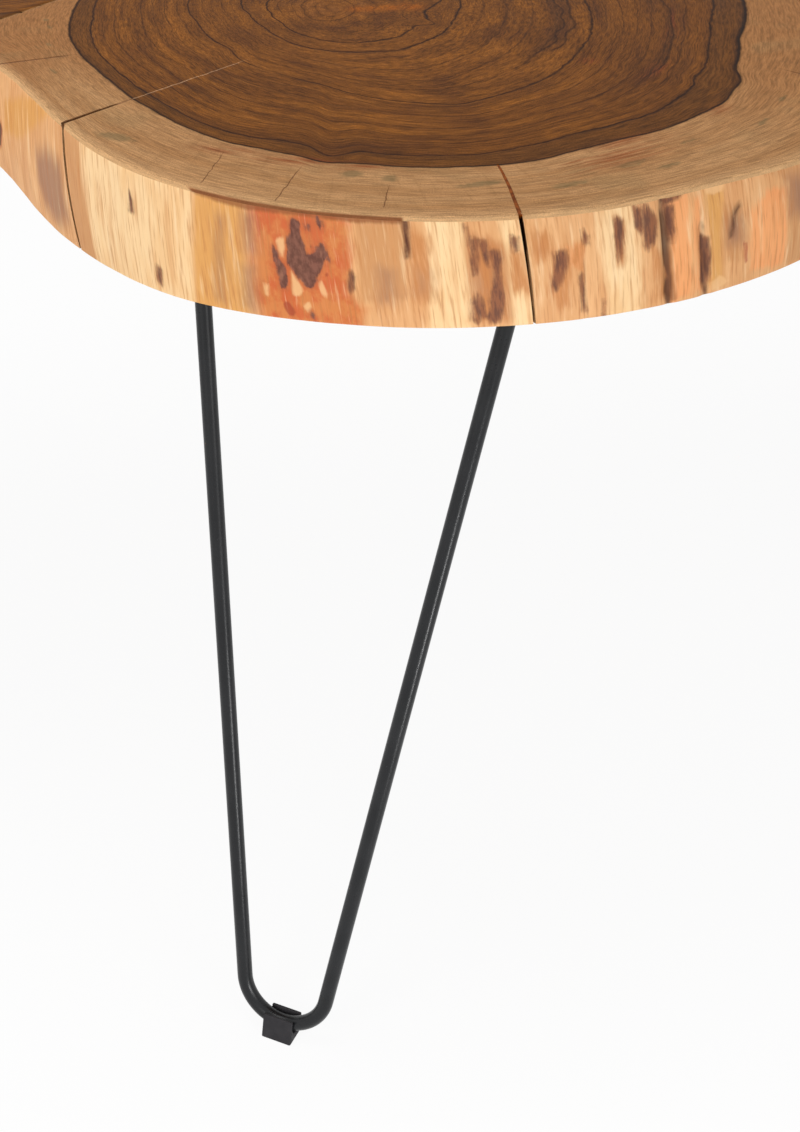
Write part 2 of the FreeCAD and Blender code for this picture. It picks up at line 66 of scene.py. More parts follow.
# %% [markdown]
# ## Writing nodes as Python
# A finish is a tree of nodes. Wiring each by hand hides the idea, so a small class wraps one
# output socket: `1 - mask * 0.5` then adds the Math nodes by itself. Every other node comes
# from one function that takes its type, its settings and what goes into its sockets.

# %% The node helper
def add_node(tree, kind, inputs=None, output=0, **settings):
    """Adds one node with its settings and its sockets' values or links, and returns one output."""
    node = tree.nodes.new(kind)
    for name, value in settings.items():
        setattr(node, name, value)
    for name, value in (inputs or {}).items():
        if isinstance(value, Wire):
            tree.links.new(value.socket, node.inputs[name])
        else:
            node.inputs[name].default_value = value
    return Wire(node.outputs[output])


# %% Arithmetic on sockets
def calculate(operation, *values):
    """A Math node on wires and numbers, in the tree that the first wire belongs to."""
    tree = next(value for value in values if isinstance(value, Wire)).socket.id_data
    return add_node(tree, "ShaderNodeMath", dict(enumerate(values)), operation=operation)


def greatest(first, *others):
    """The greatest of some wires, as a chain of Math nodes."""
    for other in others:
        first = calculate("MAXIMUM", first, other)
    return first


class Wire:
    """One output socket, with Python's operators turned into Math nodes."""

    def __init__(self, socket):
        self.socket = socket

    def __add__(self, other):
        return calculate("ADD", self, other)

    def __sub__(self, other):
        return calculate("SUBTRACT", self, other)

    def __rsub__(self, other):
        return calculate("SUBTRACT", other, self)

    def __mul__(self, other):
        return calculate("MULTIPLY", self, other)

    def __abs__(self):
        return calculate("ABSOLUTE", self)

    __radd__ = __add__
    __rmul__ = __mul__


# %% [markdown]
# ## A workbench for finishes
# Each finish needs the same few things: a colour named as a paint mixer would, noise, a soft
# threshold, a blend of two colours, and one shader at the end. They are methods of one class.

# %% The finish helper
def paint(red, green, blue):
    """A screen colour from 0 to 255, as the linear colour that a shader wants."""
    shares = [part / 255 for part in (red, green, blue)]
    return tuple(s / 12.92 if s <= 0.04045 else ((s + 0.055) / 1.055) ** 2.4 for s in shares) + (1.0,)


class Finish:
    """One material and its node tree."""

    def __init__(self, name):
        self.material = bpy.data.materials.new(name)
        self.material.use_nodes = True
        self.tree = self.material.node_tree
        self.tree.nodes.clear()

    def node(self, kind, inputs=None, output=0, **settings):
        return add_node(self.tree, kind, inputs, output, **settings)

    def attribute(self, name, output="Fac"):
        """A value that the mesh stores at its corners."""
        return self.node("ShaderNodeAttribute", output=output, attribute_name=name)

    def place(self, scale=1000.0):
        """The point on the object, in millimetres unless another scale is given."""
        point = self.node("ShaderNodeTexCoord", output="Object")
        return self.stretch(point, (scale, scale, scale))

    def stretch(self, vector, scale):
        return self.node("ShaderNodeVectorMath", {0: vector, 1: scale}, operation="MULTIPLY")

    def join(self, x, y, z):
        return self.node("ShaderNodeCombineXYZ", {0: x, 1: y, 2: z})

    def noise(self, vector, scale=1.0, detail=2.0, rough=0.5):
        inputs = {"Vector": vector, "Scale": scale, "Detail": detail, "Roughness": rough}
        return self.node("ShaderNodeTexNoise", inputs)

    def step(self, wire, low, high):
        """0 below low, 1 above high, and a soft slope between; low may be the higher."""
        inputs = {"Value": wire, "From Min": min(low, high), "From Max": max(low, high)}
        rise = self.node("ShaderNodeMapRange", inputs, interpolation_type="SMOOTHSTEP")
        return 1 - rise if low > high else rise

    def line(self, distance, width):
        """1 on a line where distance is 0, fading to 0 at width on both sides."""
        return self.step(abs(distance), width, 0)

    def blend(self, share, first, second, mode="MIX"):
        inputs = {0: share, 6: first, 7: second}
        return self.node("ShaderNodeMix", inputs, 2, data_type="RGBA", blend_type=mode, clamp_factor=True)

    def between(self, value, low, high, first, second):
        """The first screen colour where a value is low, and the second where it is high."""
        return self.blend(self.step(value, low, high), paint(*first), paint(*second))

    def coats(self, ground, *coats):
        """Coats over a ground, one after another: each a mask and a screen colour or a wire."""
        for mask, shade in coats:
            ground = self.blend(mask, ground, shade if isinstance(shade, Wire) else paint(*shade))
        return ground

    def surface(self, colour, rough, height, relief, **fixed):
        """The closing shader: height is in millimetres, and fixed values go straight on its sockets."""
        bump = {"Height": height, "Distance": 0.001, "Strength": relief}
        inputs = {"Base Color": colour, "Roughness": rough, "Normal": self.node("ShaderNodeBump", bump)}
        inputs.update({name.replace("_", " "): value for name, value in fixed.items()})
        self.close(self.node("ShaderNodeBsdfPrincipled", inputs))
        return self.material

    def close(self, shader):
        output = self.tree.nodes.new("ShaderNodeOutputMaterial")
        self.tree.links.new(shader.socket, output.inputs["Surface"])


def place_in_scene(item):
    """Links an object to the scene."""
    bpy.context.scene.collection.objects.link(item)


print("helpers ready")

# %% [markdown]
# ## The camera
# The photograph looks down on the front of the table at 35 degrees, through a long lens, and
# cuts the table off at the top and the sides. The camera stands where the rod's widths and the
# rim put it, so the render frames the same part of the table.

# %% Placing the camera
LOOKS_DOWN = 35
lens = bpy.data.cameras.new("camera")
lens.sensor_fit, lens.sensor_width, lens.lens = "HORIZONTAL", 36.0, 81.0
camera = bpy.data.objects.new("camera", lens)
camera.location = (0.0396, -1.0055, 0.7535)
camera.rotation_euler = (math.radians(90 - LOOKS_DOWN), 0.0, 0.0)
place_in_scene(camera)
bpy.context.scene.camera = camera
bpy.context.scene.view_settings.view_transform = "Standard"
print("camera at", tuple(round(part, 3) for part in camera.location))

# %% [markdown]
# ## Floor and light
# A studio has a white floor and big soft lamps. The floor is a pale disc that the camera sees
# mostly as plain white, with a share of real shading left so the table's shadow stays. One large
# lamp stands in front to the left, a weaker one to the right, one hangs overhead, and a small
# one stands low on the right to draw a stripe on the rods.

# %% The white floor
FLOOR_RADIUS, FLOOR_RINGS, FLOOR_SPOKES = 6.0, 3, 64
# How much of the floor and the surround is plain white, and how much is lit like the table
FLOOR_WHITE, SKY_WHITE, SKY_LIGHT = 0.93, 0.64, 0.36


def as_mesh(shape, name):
    """A mesh from a working shape, which is freed, with all its faces turned outwards."""
    bmesh.ops.recalc_face_normals(shape, faces=shape.faces)
    mesh = bpy.data.meshes.new(name)
    shape.to_mesh(mesh)
    shape.free()
    return mesh


def seen_plainly(tree):
    """1 for rays from the camera, also by way of a mirror or glass; 0 for those that light the table."""
    kinds = ("Is Camera Ray", "Is Glossy Ray", "Is Transmission Ray")
    return greatest(*[add_node(tree, "ShaderNodeLightPath", output=kind) for kind in kinds])


shape = bmesh.new()
bmesh.ops.create_circle(shape, cap_ends=True, radius=FLOOR_RADIUS, segments=FLOOR_SPOKES)
for ring in range(1, FLOOR_RINGS):
    bmesh.ops.inset_region(shape, faces=shape.faces[:1], thickness=FLOOR_RADIUS / FLOOR_RINGS / 2)
floor = bpy.data.objects.new("studio_floor", as_mesh(shape, "studio_floor"))
place_in_scene(floor)
white_floor = Finish("white_floor")
paper = white_floor.noise(white_floor.place(3.0))
paper_colour = white_floor.blend(paper, paint(244, 244, 244), paint(250, 250, 250))
matt = white_floor.node("ShaderNodeBsdfDiffuse", {"Color": paper_colour})
glow = white_floor.node("ShaderNodeEmission", {"Color": (1, 1, 1, 1), "Strength": 1.0})
share = seen_plainly(white_floor.tree) * FLOOR_WHITE
white_floor.close(white_floor.node("ShaderNodeMixShader", {0: share, 1: matt, 2: glow}))
floor.data.materials.append(white_floor.material)
floor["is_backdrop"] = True
print("floor radius", FLOOR_RADIUS, "m")

# %% The lamps and the white surround
def lamp(name, place, aim, wide, high, watts):
    """A soft lamp: an ellipse of light in front of a reflector, turned to what it lights."""
    light = bpy.data.lights.new(name, "AREA")
    light.shape, light.size, light.size_y, light.energy = "ELLIPSE", wide, high, watts
    holder = bpy.data.objects.new(name, light)
    holder.location = place
    towards = Vector(aim) - Vector(place)
    holder.rotation_euler = towards.to_track_quat("-Z", "Y").to_euler()
    place_in_scene(holder)


FRONT_RIM, TABLE_TOP = (0, -0.2, 0.4), (0, 0, 0.4)
lamp("front_left_lamp", (-1.4, -2.05, 1.5), FRONT_RIM, 1.4, 1.4, 26)
lamp("front_right_lamp", (1.7, -1.9, 0.8), FRONT_RIM, 1.2, 1.2, 9.4)
lamp("top_lamp", (-0.3, 0.2, 2.4), TABLE_TOP, 1.8, 1.8, 24.5)
# Small and low on the right: its only task is the narrow bright stripe down the front rods
lamp("stripe_lamp", (0.24, -0.7, 0.06), (-0.07, -0.36, 0.17), 0.06, 0.2, 0.75)

surround = bpy.data.worlds.new("white_surround")
surround.use_nodes = True
surround.node_tree.nodes.clear()
strength = seen_plainly(surround.node_tree) * SKY_WHITE + SKY_LIGHT
sky = add_node(surround.node_tree, "ShaderNodeBackground", {"Color": (1, 1, 1, 1), "Strength": strength})
world_output = surround.node_tree.nodes.new("ShaderNodeOutputWorld")
surround.node_tree.links.new(sky.socket, world_output.inputs["Surface"])
bpy.context.scene.world = surround
print("4 lamps")

# %% [markdown]
# ## Where the slices meet
# Three straight saw cuts run out from one point under the middle of the table. Each slice is
# the wedge between two of them, with its pith, the tree's first year, inside.

# %% Joints and piths, in millimetres
def read_table(words):
    """A table written as words such as 10:225, with one row for each word."""
    return np.array([[float(part) for part in word.split(":")] for word in words.split()])


TOP, UNDER, EASE = 460.0, 412.0, 1.5
MIDDLE = np.array([-43.0, 51.0])
JOINT_ENDS = {"left": (-188.4, -144.5), "right": (295.6, -53.5), "back": (-50.4, 266.5)}
PITHS = {"front": (8.6, -90.5), "left": (-251.4, 54.5), "right": (194.6, 131.5)}
# Where the angle starts to count for each slice: a direction inside its sawn corner
COUNT_FROM = {"front": -200.0, "left": 10.0, "right": -140.0}
# The two joints that bound each slice
EDGES = {"front": ("left", "right"), "right": ("right", "back"), "left": ("back", "left")}
joint_ways = {name: (np.array(end) - MIDDLE) / math.dist(end, MIDDLE) for name, end in JOINT_ENDS.items()}
for name, way in joint_ways.items():
    print(name, "joint runs at %.1f degrees" % math.degrees(math.atan2(way[1], way[0])))


# %% [markdown]
# ## The rim, read from the CAD
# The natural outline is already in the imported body, so it isn't drawn again. Under its eased top
# edge and at its underside the body has an edge all round; the corners there, sorted by angle
# round the pith, are points of the rim. A cubic spline through them is as smooth as the bark line.

# %% Reading and smoothing the rim
def spline(xs, ys):
    """A natural cubic spline through points, as a function."""
    gap = np.diff(xs)
    slope = np.diff(ys) / gap
    count = len(xs)
    system, right = np.eye(count), np.zeros(count)
    for i in range(1, count - 1):
        system[i, i - 1:i + 2] = gap[i - 1], 2 * (gap[i - 1] + gap[i]), gap[i]
        right[i] = 6 * (slope[i] - slope[i - 1])
    bend = np.linalg.solve(system, right)

    def at(x):
        i = np.clip(np.searchsorted(xs, x) - 1, 0, count - 2)
        low, high, h = x - xs[i], xs[i + 1] - x, gap[i]
        curve = (bend[i] * high ** 3 + bend[i + 1] * low ** 3) / (6 * h)
        return curve + (ys[i] / h - bend[i] * h / 6) * high + (ys[i + 1] / h - bend[i + 1] * h / 6) * low

    return at


def mesh_points(mesh):
    """A mesh's corners, one in each row."""
    flat = np.empty(len(mesh.vertices) * 3)
    mesh.vertices.foreach_get("co", flat)
    return flat.reshape(-1, 3)


def unit(angle):
    """The direction at an angle in degrees, or one direction in each row for many angles."""
    return np.stack([np.cos(np.radians(angle)), np.sin(np.radians(angle))], axis=-1)


def polar(name, points):
    """Angle round a slice's pith, counted up from its own start, and distance from it."""
    across, up = (points[..., axis] - PITHS[name][axis] for axis in (0, 1))
    start = COUNT_FROM[name]
    return (np.degrees(np.arctan2(up, across)) - start) % 360 + start, np.hypot(across, up)


# How close a corner lies to a level or a cut that it belongs to, in millimetres
ON_LEVEL, ON_CUT = 0.02, 0.5
# A corner is on the rim if hardly any neighbour within some degrees reaches further out, and those
# that are kept are more than some degrees apart
NEIGHBOUR, FURTHEST, APART = 2.5, 0.985, 0.4


def rim_at(name, level):
    """The rim of a CAD slice at one height: first angle, last angle, and reach as a function."""
    points = mesh_points(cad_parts[name + "_slice"].data) * 1000
    points = points[np.abs(points[:, 2] - level) < ON_LEVEL]
    for joint in EDGES[name]:
        offset, way = points[:, :2] - MIDDLE, joint_ways[joint]
        along = offset @ way
        beside = np.abs(offset[:, 0] * way[1] - offset[:, 1] * way[0])
        sawn = (beside < ON_CUT) & (along > -1)
        points = points[~sawn | (along > along[sawn].max() - ON_CUT)]
    angle, reach = polar(name, points)
    order = np.argsort(angle)
    angle, reach = angle[order], reach[order]
    outer = [i for i in range(len(angle))
             if reach[i] > FURTHEST * reach[np.abs(angle - angle[i]) < NEIGHBOUR].max()]
    kept = [outer[0]]
    for i in outer:
        if angle[i] - angle[kept[-1]] > APART:
            kept.append(i)
    return angle[kept[0]], angle[kept[-1]], spline(angle[kept], reach[kept])


BELLY = 1.5
rims = {}
for name in PITHS:
    rims[name] = [rim_at(name, level) for level in (TOP - EASE, UNDER)]
    first, last, reach = rims[name][0]
    ends = (first, last, reach(first), reach(last))
    print(name, "rim from %.1f to %.1f degrees, reach %.0f to %.0f" % ends)


def depth_share(level):
    """0 at the eased top edge and 1 at the underside."""
    return float(np.clip((TOP - EASE - level) / (TOP - EASE - UNDER), 0, 1))


def rim_reach(name, angle, level):
    """The rim's distance from the pith, between its upper and lower edge, with a slight belly."""
    share = depth_share(level)
    upper, lower = (rim[2](angle) for rim in rims[name])
    return upper + (lower - upper) * share + BELLY * 4 * share * (1 - share)


# %% [markdown]
# ## Drying checks
# Wood shrinks more round the rings than across them, so a slice splits from the rim inwards.
# Two such checks are open on the front slice. Each is a thin wedge: a mouth on the rim, a way it
# runs, a length and a width. It slants, because the trunk's fibres do.

# %% The two open checks
# Mouth angle at the top and at the underside, turn away from the pith's direction, run, width at
# the mouth and at the tip, how far it bows sideways at the underside, and how far its tip bends
Check = namedtuple("Check", "upper lower turn run width tip bow bend")
CHECKS = {"front": [Check(-126.6, -121.0, -5.5, 32.0, 2.1, 1.0, 0.8, 0.0),
                    Check(-72.9, -71.3, -11.0, 52.0, 1.8, 1.1, 3.2, 1.3)],
          "left": [], "right": []}
# Stations crowd towards the mouth by this power, the bow is spread over some millimetres of the
# run, and a check is narrower by a share at the underside
CROWDING, BOW_RUN, NARROWING = 1.8, 16, 0.35


def check_walls(name, check, level, steps, jitter):
    """The two walls of a check at one height, each from the rim to the tip."""
    down = (TOP - level) / (TOP - UNDER)
    mouth = check.upper + (check.lower - check.upper) * down
    start = PITHS[name] + rim_reach(name, mouth, level) * unit(mouth)
    inward = -unit(mouth + check.turn)
    side = np.array([-inward[1], inward[0]])
    share = np.linspace(0, 1, steps)[:, None] ** CROWDING
    wander = jitter[:, None] * (share > 0) * (share < 1)
    wander = wander + check.bow * down * np.sin(math.pi * np.clip(share * check.run / BOW_RUN, 0, 1))
    # The tip's bend takes the last half of the run
    wander = wander + check.bend * np.clip((share - 0.5) / 0.5, 0, 1) ** 2
    half = (check.width + (check.tip - check.width) * share) * (1 - NARROWING * down) / 2
    return [start + inward * check.run * share + side * (sign * half + wander) for sign in (1, -1)]


# The painted shade inside a check: how far aside it is felt and fades, how far past the tip it runs,
# and how far in it starts, which is further near the top because the edge is rounded there
FELT, FADES, PAST_TIP, PAST_MOUTH, NEAR_TOP, PAST_MOUTH_TOP = 4.2, 1.5, 1.5, 0.3, 3, 2.7


def check_field(name, points):
    """Where shade is painted inside a check: 1 on its walls, short of its mouth, fading to 0 beside it."""
    field = np.zeros(len(points))
    for check in CHECKS[name]:
        down = (TOP - points[:, 2]) / (TOP - UNDER)
        mouth = check.upper + (check.lower - check.upper) * down
        way = unit(mouth + check.turn)
        reach = rim_reach(name, mouth, TOP - EASE)
        offset = points[:, :2] - PITHS[name] - unit(mouth) * reach[:, None]
        depth = -(offset * way).sum(axis=1)
        aside = np.abs(offset[:, 0] * way[:, 1] - offset[:, 1] * way[:, 0])
        beside = np.clip((FELT - aside) / FADES, 0, 1)
        past_mouth = depth > np.where(points[:, 2] > TOP - NEAR_TOP, PAST_MOUTH_TOP, PAST_MOUTH)
        field = np.maximum(field, beside * (depth < check.run + PAST_TIP) * past_mouth)
    return field


print("front slice has", len(CHECKS["front"]), "open checks")

# %% [markdown]
# ## One slice as a mesh
# The side wall is a fine net: columns every millimetre or two along the outline, and rows from the
# underside up to the rounded top edge. The flat faces are filled with small triangles, because the
# ring pattern will hang on values stored at their corners, and a fine net carries it smoothly.

# %% The outline at one height
WALL_STEP, JOINT_STEP, CHECK_STEPS = {"front": 1.5, "left": 2.2, "right": 2.2}, 7.0, 14
# The rim's usual distance from the pith, to turn degrees into millimetres for the wall's columns
COLUMN_REACH = 250


def outline(name, level, inset=0.0):
    """Points anticlockwise round a slice at one height; True in the second list means bark side."""
    rough = np.random.default_rng(5)
    (first, last, _), (low_first, low_last, _) = rims[name]
    share = depth_share(level)
    points, bark = [], []
    # Between these angles runs the rim; at the second of each pair a check's walls interrupt it.
    # The columns are counted at the top, so every level has as many.
    stops, top_stops, walls = [first + (low_first - first) * share], [first], []
    for check in CHECKS[name]:
        pair = check_walls(name, check, level, CHECK_STEPS, rough.normal(0, 0.05, CHECK_STEPS))
        pair.sort(key=lambda wall: polar(name, wall[0])[0])
        walls.append(pair)
        stops += [polar(name, wall[0])[0] for wall in pair]
        top_stops += [check.upper, check.upper]
    stops.append(last + (low_last - last) * share)
    top_stops.append(last)
    for i in range(0, len(stops), 2):
        length = math.radians(top_stops[i + 1] - top_stops[i]) * COLUMN_REACH
        angles = np.linspace(stops[i], stops[i + 1], max(3, round(length / WALL_STEP[name])))
        reach = rim_reach(name, angles, level) - inset
        points.append(PITHS[name] + unit(angles) * reach[:, None])
        bark.append(np.ones(len(angles), bool))
        if i // 2 < len(walls):
            into, out = walls[i // 2]
            points.append(np.concatenate([into[1:], out[:0:-1]]))
            bark.append(np.zeros(2 * CHECK_STEPS - 2, bool))
    start, end = points[0][0], points[-1][-1]
    count = round(math.dist(JOINT_ENDS[EDGES[name][0]], MIDDLE) / JOINT_STEP)
    for near, far in ((end, MIDDLE), (MIDDLE, start)):
        share = np.linspace(0, 1, count, endpoint=False)[1 if near is end else 0:, None]
        points.append(near + (far - near) * share)
        bark.append(np.zeros(len(share), bool))
    return np.concatenate(points), np.concatenate(bark)


for name in PITHS:
    points, bark = outline(name, TOP - EASE)
    print(name, "outline of", len(points), "points,", int(bark.sum()), "of them on the bark side")


# %% [markdown]
# ## Bumps, grooves and lean of the fibres
# Under its bark a trunk is fluted. Long soft waves push the wall in and out by a millimetre or
# less, and a few deep grooves follow folds of the bark. All of them lean as the fibres do.

# %% Shaping the bark side
# How far the fibres lean, in millimetres along the rim for each millimetre down, by angle
LEAN_ANGLES = [-165, -126, -114, -103, -95, -72, -60, -45, 360]
LEANS = [0.36, 0.36, 0.2, 0.1, 0.12, 0.15, 0.11, 0.12, 0.12]
# The rim's usual distance from the pith, to turn degrees into millimetres along the bark side
BARK_REACH = 260
# Angle at the top, centre height, half height, half width and depth of the deep grooves
GROOVES = {
    "front": "-59.9:34:30:1.9:2.2 -56.2:14:16:2:1.8 -67.9:12:14:1.5:0.8 -30:20:30:2.5:2.4 -12:24:40:3:2",
}
OTHER_GROOVES = ":24:40:2.5:2.2 :20:30:3:2.4 :24:40:2:2 :14:20:3:2.2 :24:40:2.5:2.4 :20:26:3:2".split()
for name, angles in (("left", (62, 98, 131, 171, 205, 248)), ("right", (-40, -8, 27, 61, 97, 133))):
    GROOVES[name] = " ".join(str(angle) + sizes for angle, sizes in zip(angles, OTHER_GROOVES))
# The rim's millimetres in a degree, to set a groove's half width against a turn, and the share of
# its half height over which a groove runs out
MM_PER_DEGREE, GROOVE_END = 4.6, 0.4
# The soft waves: how many, the first one's length and what each later one adds, its height and the
# share that each later one adds, in millimetres, and the range of their start in radians
WAVES, WAVE_LENGTH, LONGER, WAVE_HEIGHT, HIGHER, START = 10, 9, 5.5, 0.035, 0.25, 6.3
WAVE_SEEDS = {"front": 3, "left": 4, "right": 9}


def skin_place(name, points):
    """Where points are on the bark side, undone of the lean: angle, millimetres along, and height."""
    angle, reach = polar(name, points)
    height = points[:, 2] - UNDER
    lean = np.interp(angle, LEAN_ANGLES, LEANS)
    turn = angle - np.degrees(lean * (TOP - UNDER - height) / np.maximum(reach, 50))
    return turn, np.radians(turn) * BARK_REACH, height


def groove_depth(name, turn, height):
    """How deep the grooves are at places on the bark side, in millimetres."""
    depth = np.zeros(len(turn))
    for angle, middle, half_height, half_width, deep in read_table(GROOVES[name]):
        across = (turn - angle) * MM_PER_DEGREE / half_width
        along = (height - middle) / half_height
        whole = np.clip(1 + GROOVE_END - np.abs(along), 0, GROOVE_END) / GROOVE_END
        depth = np.maximum(depth, deep * np.exp(-across ** 2) * whole)
    return depth


def shape_wall(name, points, bark):
    """Moves bark-side points in and out along the direction from the pith."""
    turn, around, height = skin_place(name, points)
    luck = np.random.default_rng(WAVE_SEEDS[name])
    relief = np.zeros(len(points))
    for wave in range(WAVES):
        length, phase, rise = WAVE_LENGTH + LONGER * wave, luck.uniform(0, START), luck.uniform(-0.02, 0.02)
        crest = WAVE_HEIGHT * (1 + wave * HIGHER)
        relief += crest * np.sin(around * 2 * math.pi / length + height * rise + phase)
    relief -= groove_depth(name, turn, height)
    # Calmer near the sawn faces, and still at the joints and on sawn walls
    relief *= np.clip((TOP - points[:, 2]) / 6, 0.25, 1) * np.clip(height / 5, 0.3, 1)
    (first, last, _), _ = rims[name]
    angle = polar(name, points)[0]
    relief *= np.clip((np.minimum(angle - first, last - angle)) / 3, 0, 1) * bark
    way = points[:, :2] - PITHS[name]
    way /= np.linalg.norm(way, axis=1)[:, None]
    points[:, :2] += way * relief[:, None]
    return points


# %% Filling a flat face
# Rows of triangles are this share of a step apart, and keep this share of one from the outline
ROW_GAP, EDGE_GAP = 0.87, 0.45


def inside(points, loop):
    """Which points lie inside a closed outline, by counting how often a ray crosses it."""
    odd = np.zeros(len(points), bool)
    for (x1, y1), (x2, y2) in zip(loop, np.roll(loop, -1, axis=0)):
        if y1 != y2:
            crosses = (points[:, 1] < max(y1, y2)) & (points[:, 1] >= min(y1, y2))
            odd ^= crosses & (points[:, 0] < x1 + (points[:, 1] - y1) * (x2 - x1) / (y2 - y1))
    return odd


def edge_distance(points, loop):
    """How far points are from a closed outline."""
    nearest = np.full(len(points), np.inf)
    for a, b in zip(loop, np.roll(loop, -1, axis=0)):
        way = b - a
        share = np.clip(((points - a) @ way) / max(way @ way, 1e-9), 0, 1)
        nearest = np.minimum(nearest, np.linalg.norm(points - a - share[:, None] * way, axis=1))
    return nearest


def flat_fill(loop, step, level):
    """Small triangles over a closed outline: its points first, then a grid of rows inside it."""
    low, high = loop.min(axis=0), loop.max(axis=0)
    rows = np.arange(low[1] + step / 2, high[1], step * ROW_GAP)
    across, up = np.meshgrid(np.arange(low[0], high[0], step), rows)
    across[::2] += step / 2
    grid = np.column_stack([across.ravel(), up.ravel()])
    grid = grid[inside(grid, loop)]
    grid = grid[edge_distance(grid, loop) > step * EDGE_GAP]
    every = [Vector(point) for point in np.concatenate([loop, grid])]
    points, _, faces, *_ = delaunay_2d_cdt(every, [], [list(range(len(loop)))], 1, 1e-4)
    return np.column_stack([np.array(points), np.full(len(points), level)]), faces


# %% [markdown]
# The wall and the two flat faces are welded into one closed shell. Faces that look up or down,
# and the narrow rounded edge, take the end-grain finish; the bark side takes its own.

# %% Building the slices
FACE_STEP, UNDER_STEP = {"front": 2.7, "left": 4.0, "right": 4.0}, 9.0
# The top edge's radius, how it is divided, and the rows of the wall below it
ROUND, ROUND_TURNS, WALL_ROWS = 2.6, np.radians([18, 36, 54, 72, 90]), 28
GRAIN, BARK = 0, 1
# Corners nearer than this are welded into one
SAME_PLACE = 0.002


def wrap(shape, rows):
    """Faces all round between each row of corners and the next, row by row."""
    faces = []
    for lower, upper in zip(rows, rows[1:]):
        around = zip(lower, lower[1:] + lower[:1], upper[1:] + upper[:1], upper)
        # A row may be one corner, repeated: its faces are then triangles
        faces.append([shape.faces.new(tuple(dict.fromkeys(four))) for four in around])
    return faces


def slice_mesh(name):
    """A closed mesh of one slice, in millimetres, its faces sorted into end grain and bark side."""
    levels = [(level, 0.0) for level in np.linspace(UNDER, TOP - ROUND, WALL_ROWS)]
    levels += [(TOP - ROUND + ROUND * math.sin(turn), ROUND * (1 - math.cos(turn))) for turn in ROUND_TURNS]
    shape = bmesh.new()
    net = []
    for level, inset in levels:
        points, bark = outline(name, level, inset)
        points = shape_wall(name, np.column_stack([points, np.full(len(points), level)]), bark)
        net.append([shape.verts.new(point) for point in points])
    skin = bark & np.roll(bark, -1)
    for row, faces in enumerate(wrap(shape, net)):
        for face, is_skin in zip(faces, skin):
            face.material_index = BARK if is_skin and row < WALL_ROWS else GRAIN
    for row, step, level in ((net[-1], FACE_STEP[name], TOP), (net[0], UNDER_STEP, UNDER)):
        loop = np.array([vert.co[:2] for vert in row])
        points, faces = flat_fill(loop, step, level)
        verts = [shape.verts.new(point) for point in points]
        for face in faces:
            shape.faces.new([verts[i] for i in (face if level == TOP else face[::-1])])
    bmesh.ops.remove_doubles(shape, verts=shape.verts, dist=SAME_PLACE)
    open_edges = sum(1 for edge in shape.edges if len(edge.link_faces) != 2)
    mesh = as_mesh(shape, name + "_live_edge_slice")
    print("%s slice: %d faces, %d open edges" % (name, len(mesh.polygons), open_edges))
    return mesh


slices = {name: slice_mesh(name) for name in PITHS}

# %% [markdown]
# ## How old the wood is at each point
# Rings aren't circles: each year's ring follows the shape of the trunk that year. So the finish
# doesn't ask how far a point is from the pith, but how old the wood is there. A few known rings,
# drawn as reach by angle, fix that age, and the rest is read between them. The last ring inside
# the pale sapwood is the edge of the brown heartwood.

# %% Known rings of the front slice
AGES = {"core": 20.0, "eye": 45.0, "second": 60.0, "middle": 115.0, "inner": 188.0, "heart": 202.0,
        "young_sap": 212.0, "bark": 262.0}
FRONT_RINGS = {
    "core": "143:22 -170:18 -126:21 -102:20 -75:13 -30:8 11:7 50:9 86:13 115:18",
    "eye": """
    160:39 -168:35 -140:36 -117:43 -99:49 -79:54 -54:53 -46:50 -35:47 -26:56 -21:48 -7:44 1:47 14:54 40:48
    80:42 120:38""",
    "second": """
    165:53 -167:46 -140:47 -121:53 -106:60 -92:64 -79:67 -64:70 -51:66 -37:64 -22:61 -10:60 12:63 80:55""",
    "middle": """
    170:79 -162:73 -130:79 -120:89 -104:99 -93:109 -77:135 -67:147 -46:142 -30:134 -5:128 30:125 90:98""",
    "inner": """
    174:126 -173:124 -163:127 -151:131 -141:135 -133:140 -123:149 -115:159 -106:172 -100:177 -97:178 -93:182
    -91:190 -90:196 -88:194 -86:189 -81:196 -72:203 -63:202 -57:200 -45:204 -40:202 -33:199 -31:195 -27:195
    -18:189 -6:187 4:193 30:190 60:176 90:157 120:138 150:127""",
    "heart": """
    174:135 -175:135 -165:137 -154:139 -143:142 -134:147 -125:156 -119:162 -113:171 -108:178 -103:185
    -99:188 -96:192 -93:195 -91:201 -89:202 -86:203 -81:209 -76:213 -70:217 -66:218 -60:216 -55:216 -50:219
    -45:220 -41:220 -37:221 -32:217 -29:216 -27:212 -25:208 -13:202 4:209 30:205 60:190 90:170 120:150
    150:138""",
}
# The heartwood's edge in the other two slices
HEARTS = {
    "left": "10:225 46:215 90:185 130:170 170:165 210:168 250:172 287:180 305:198 330:212 350:222",
    "right": "-140:190 -100:185 -62:166 -30:185 0:205 30:205 60:180 90:165 120:175 150:200 180:200 200:195",
}
# Their other rings: share of the heartwood's reach, millimetres less, wander and shift of its seed
OTHER_RINGS = {"core": (0.09, 0, 1.0, 50), "eye": (0.2, 0, 1.5, 10), "second": (0.31, 0, 1.8, 20),
               "middle": (0.58, 0, 2.5, 30), "inner": (1, 13, 1.2, 40)}
HEART_WANDER = 3.0
FINE_ANGLES = np.arange(0, 360, 0.5)
# The waves of a wander, how soon the quicker ones calm down, and the weights that soften a ring
RING_WAVES, CALMING, WEIGHTS = range(2, 24), 0.7, np.exp(-np.linspace(-2, 2, 9) ** 2)


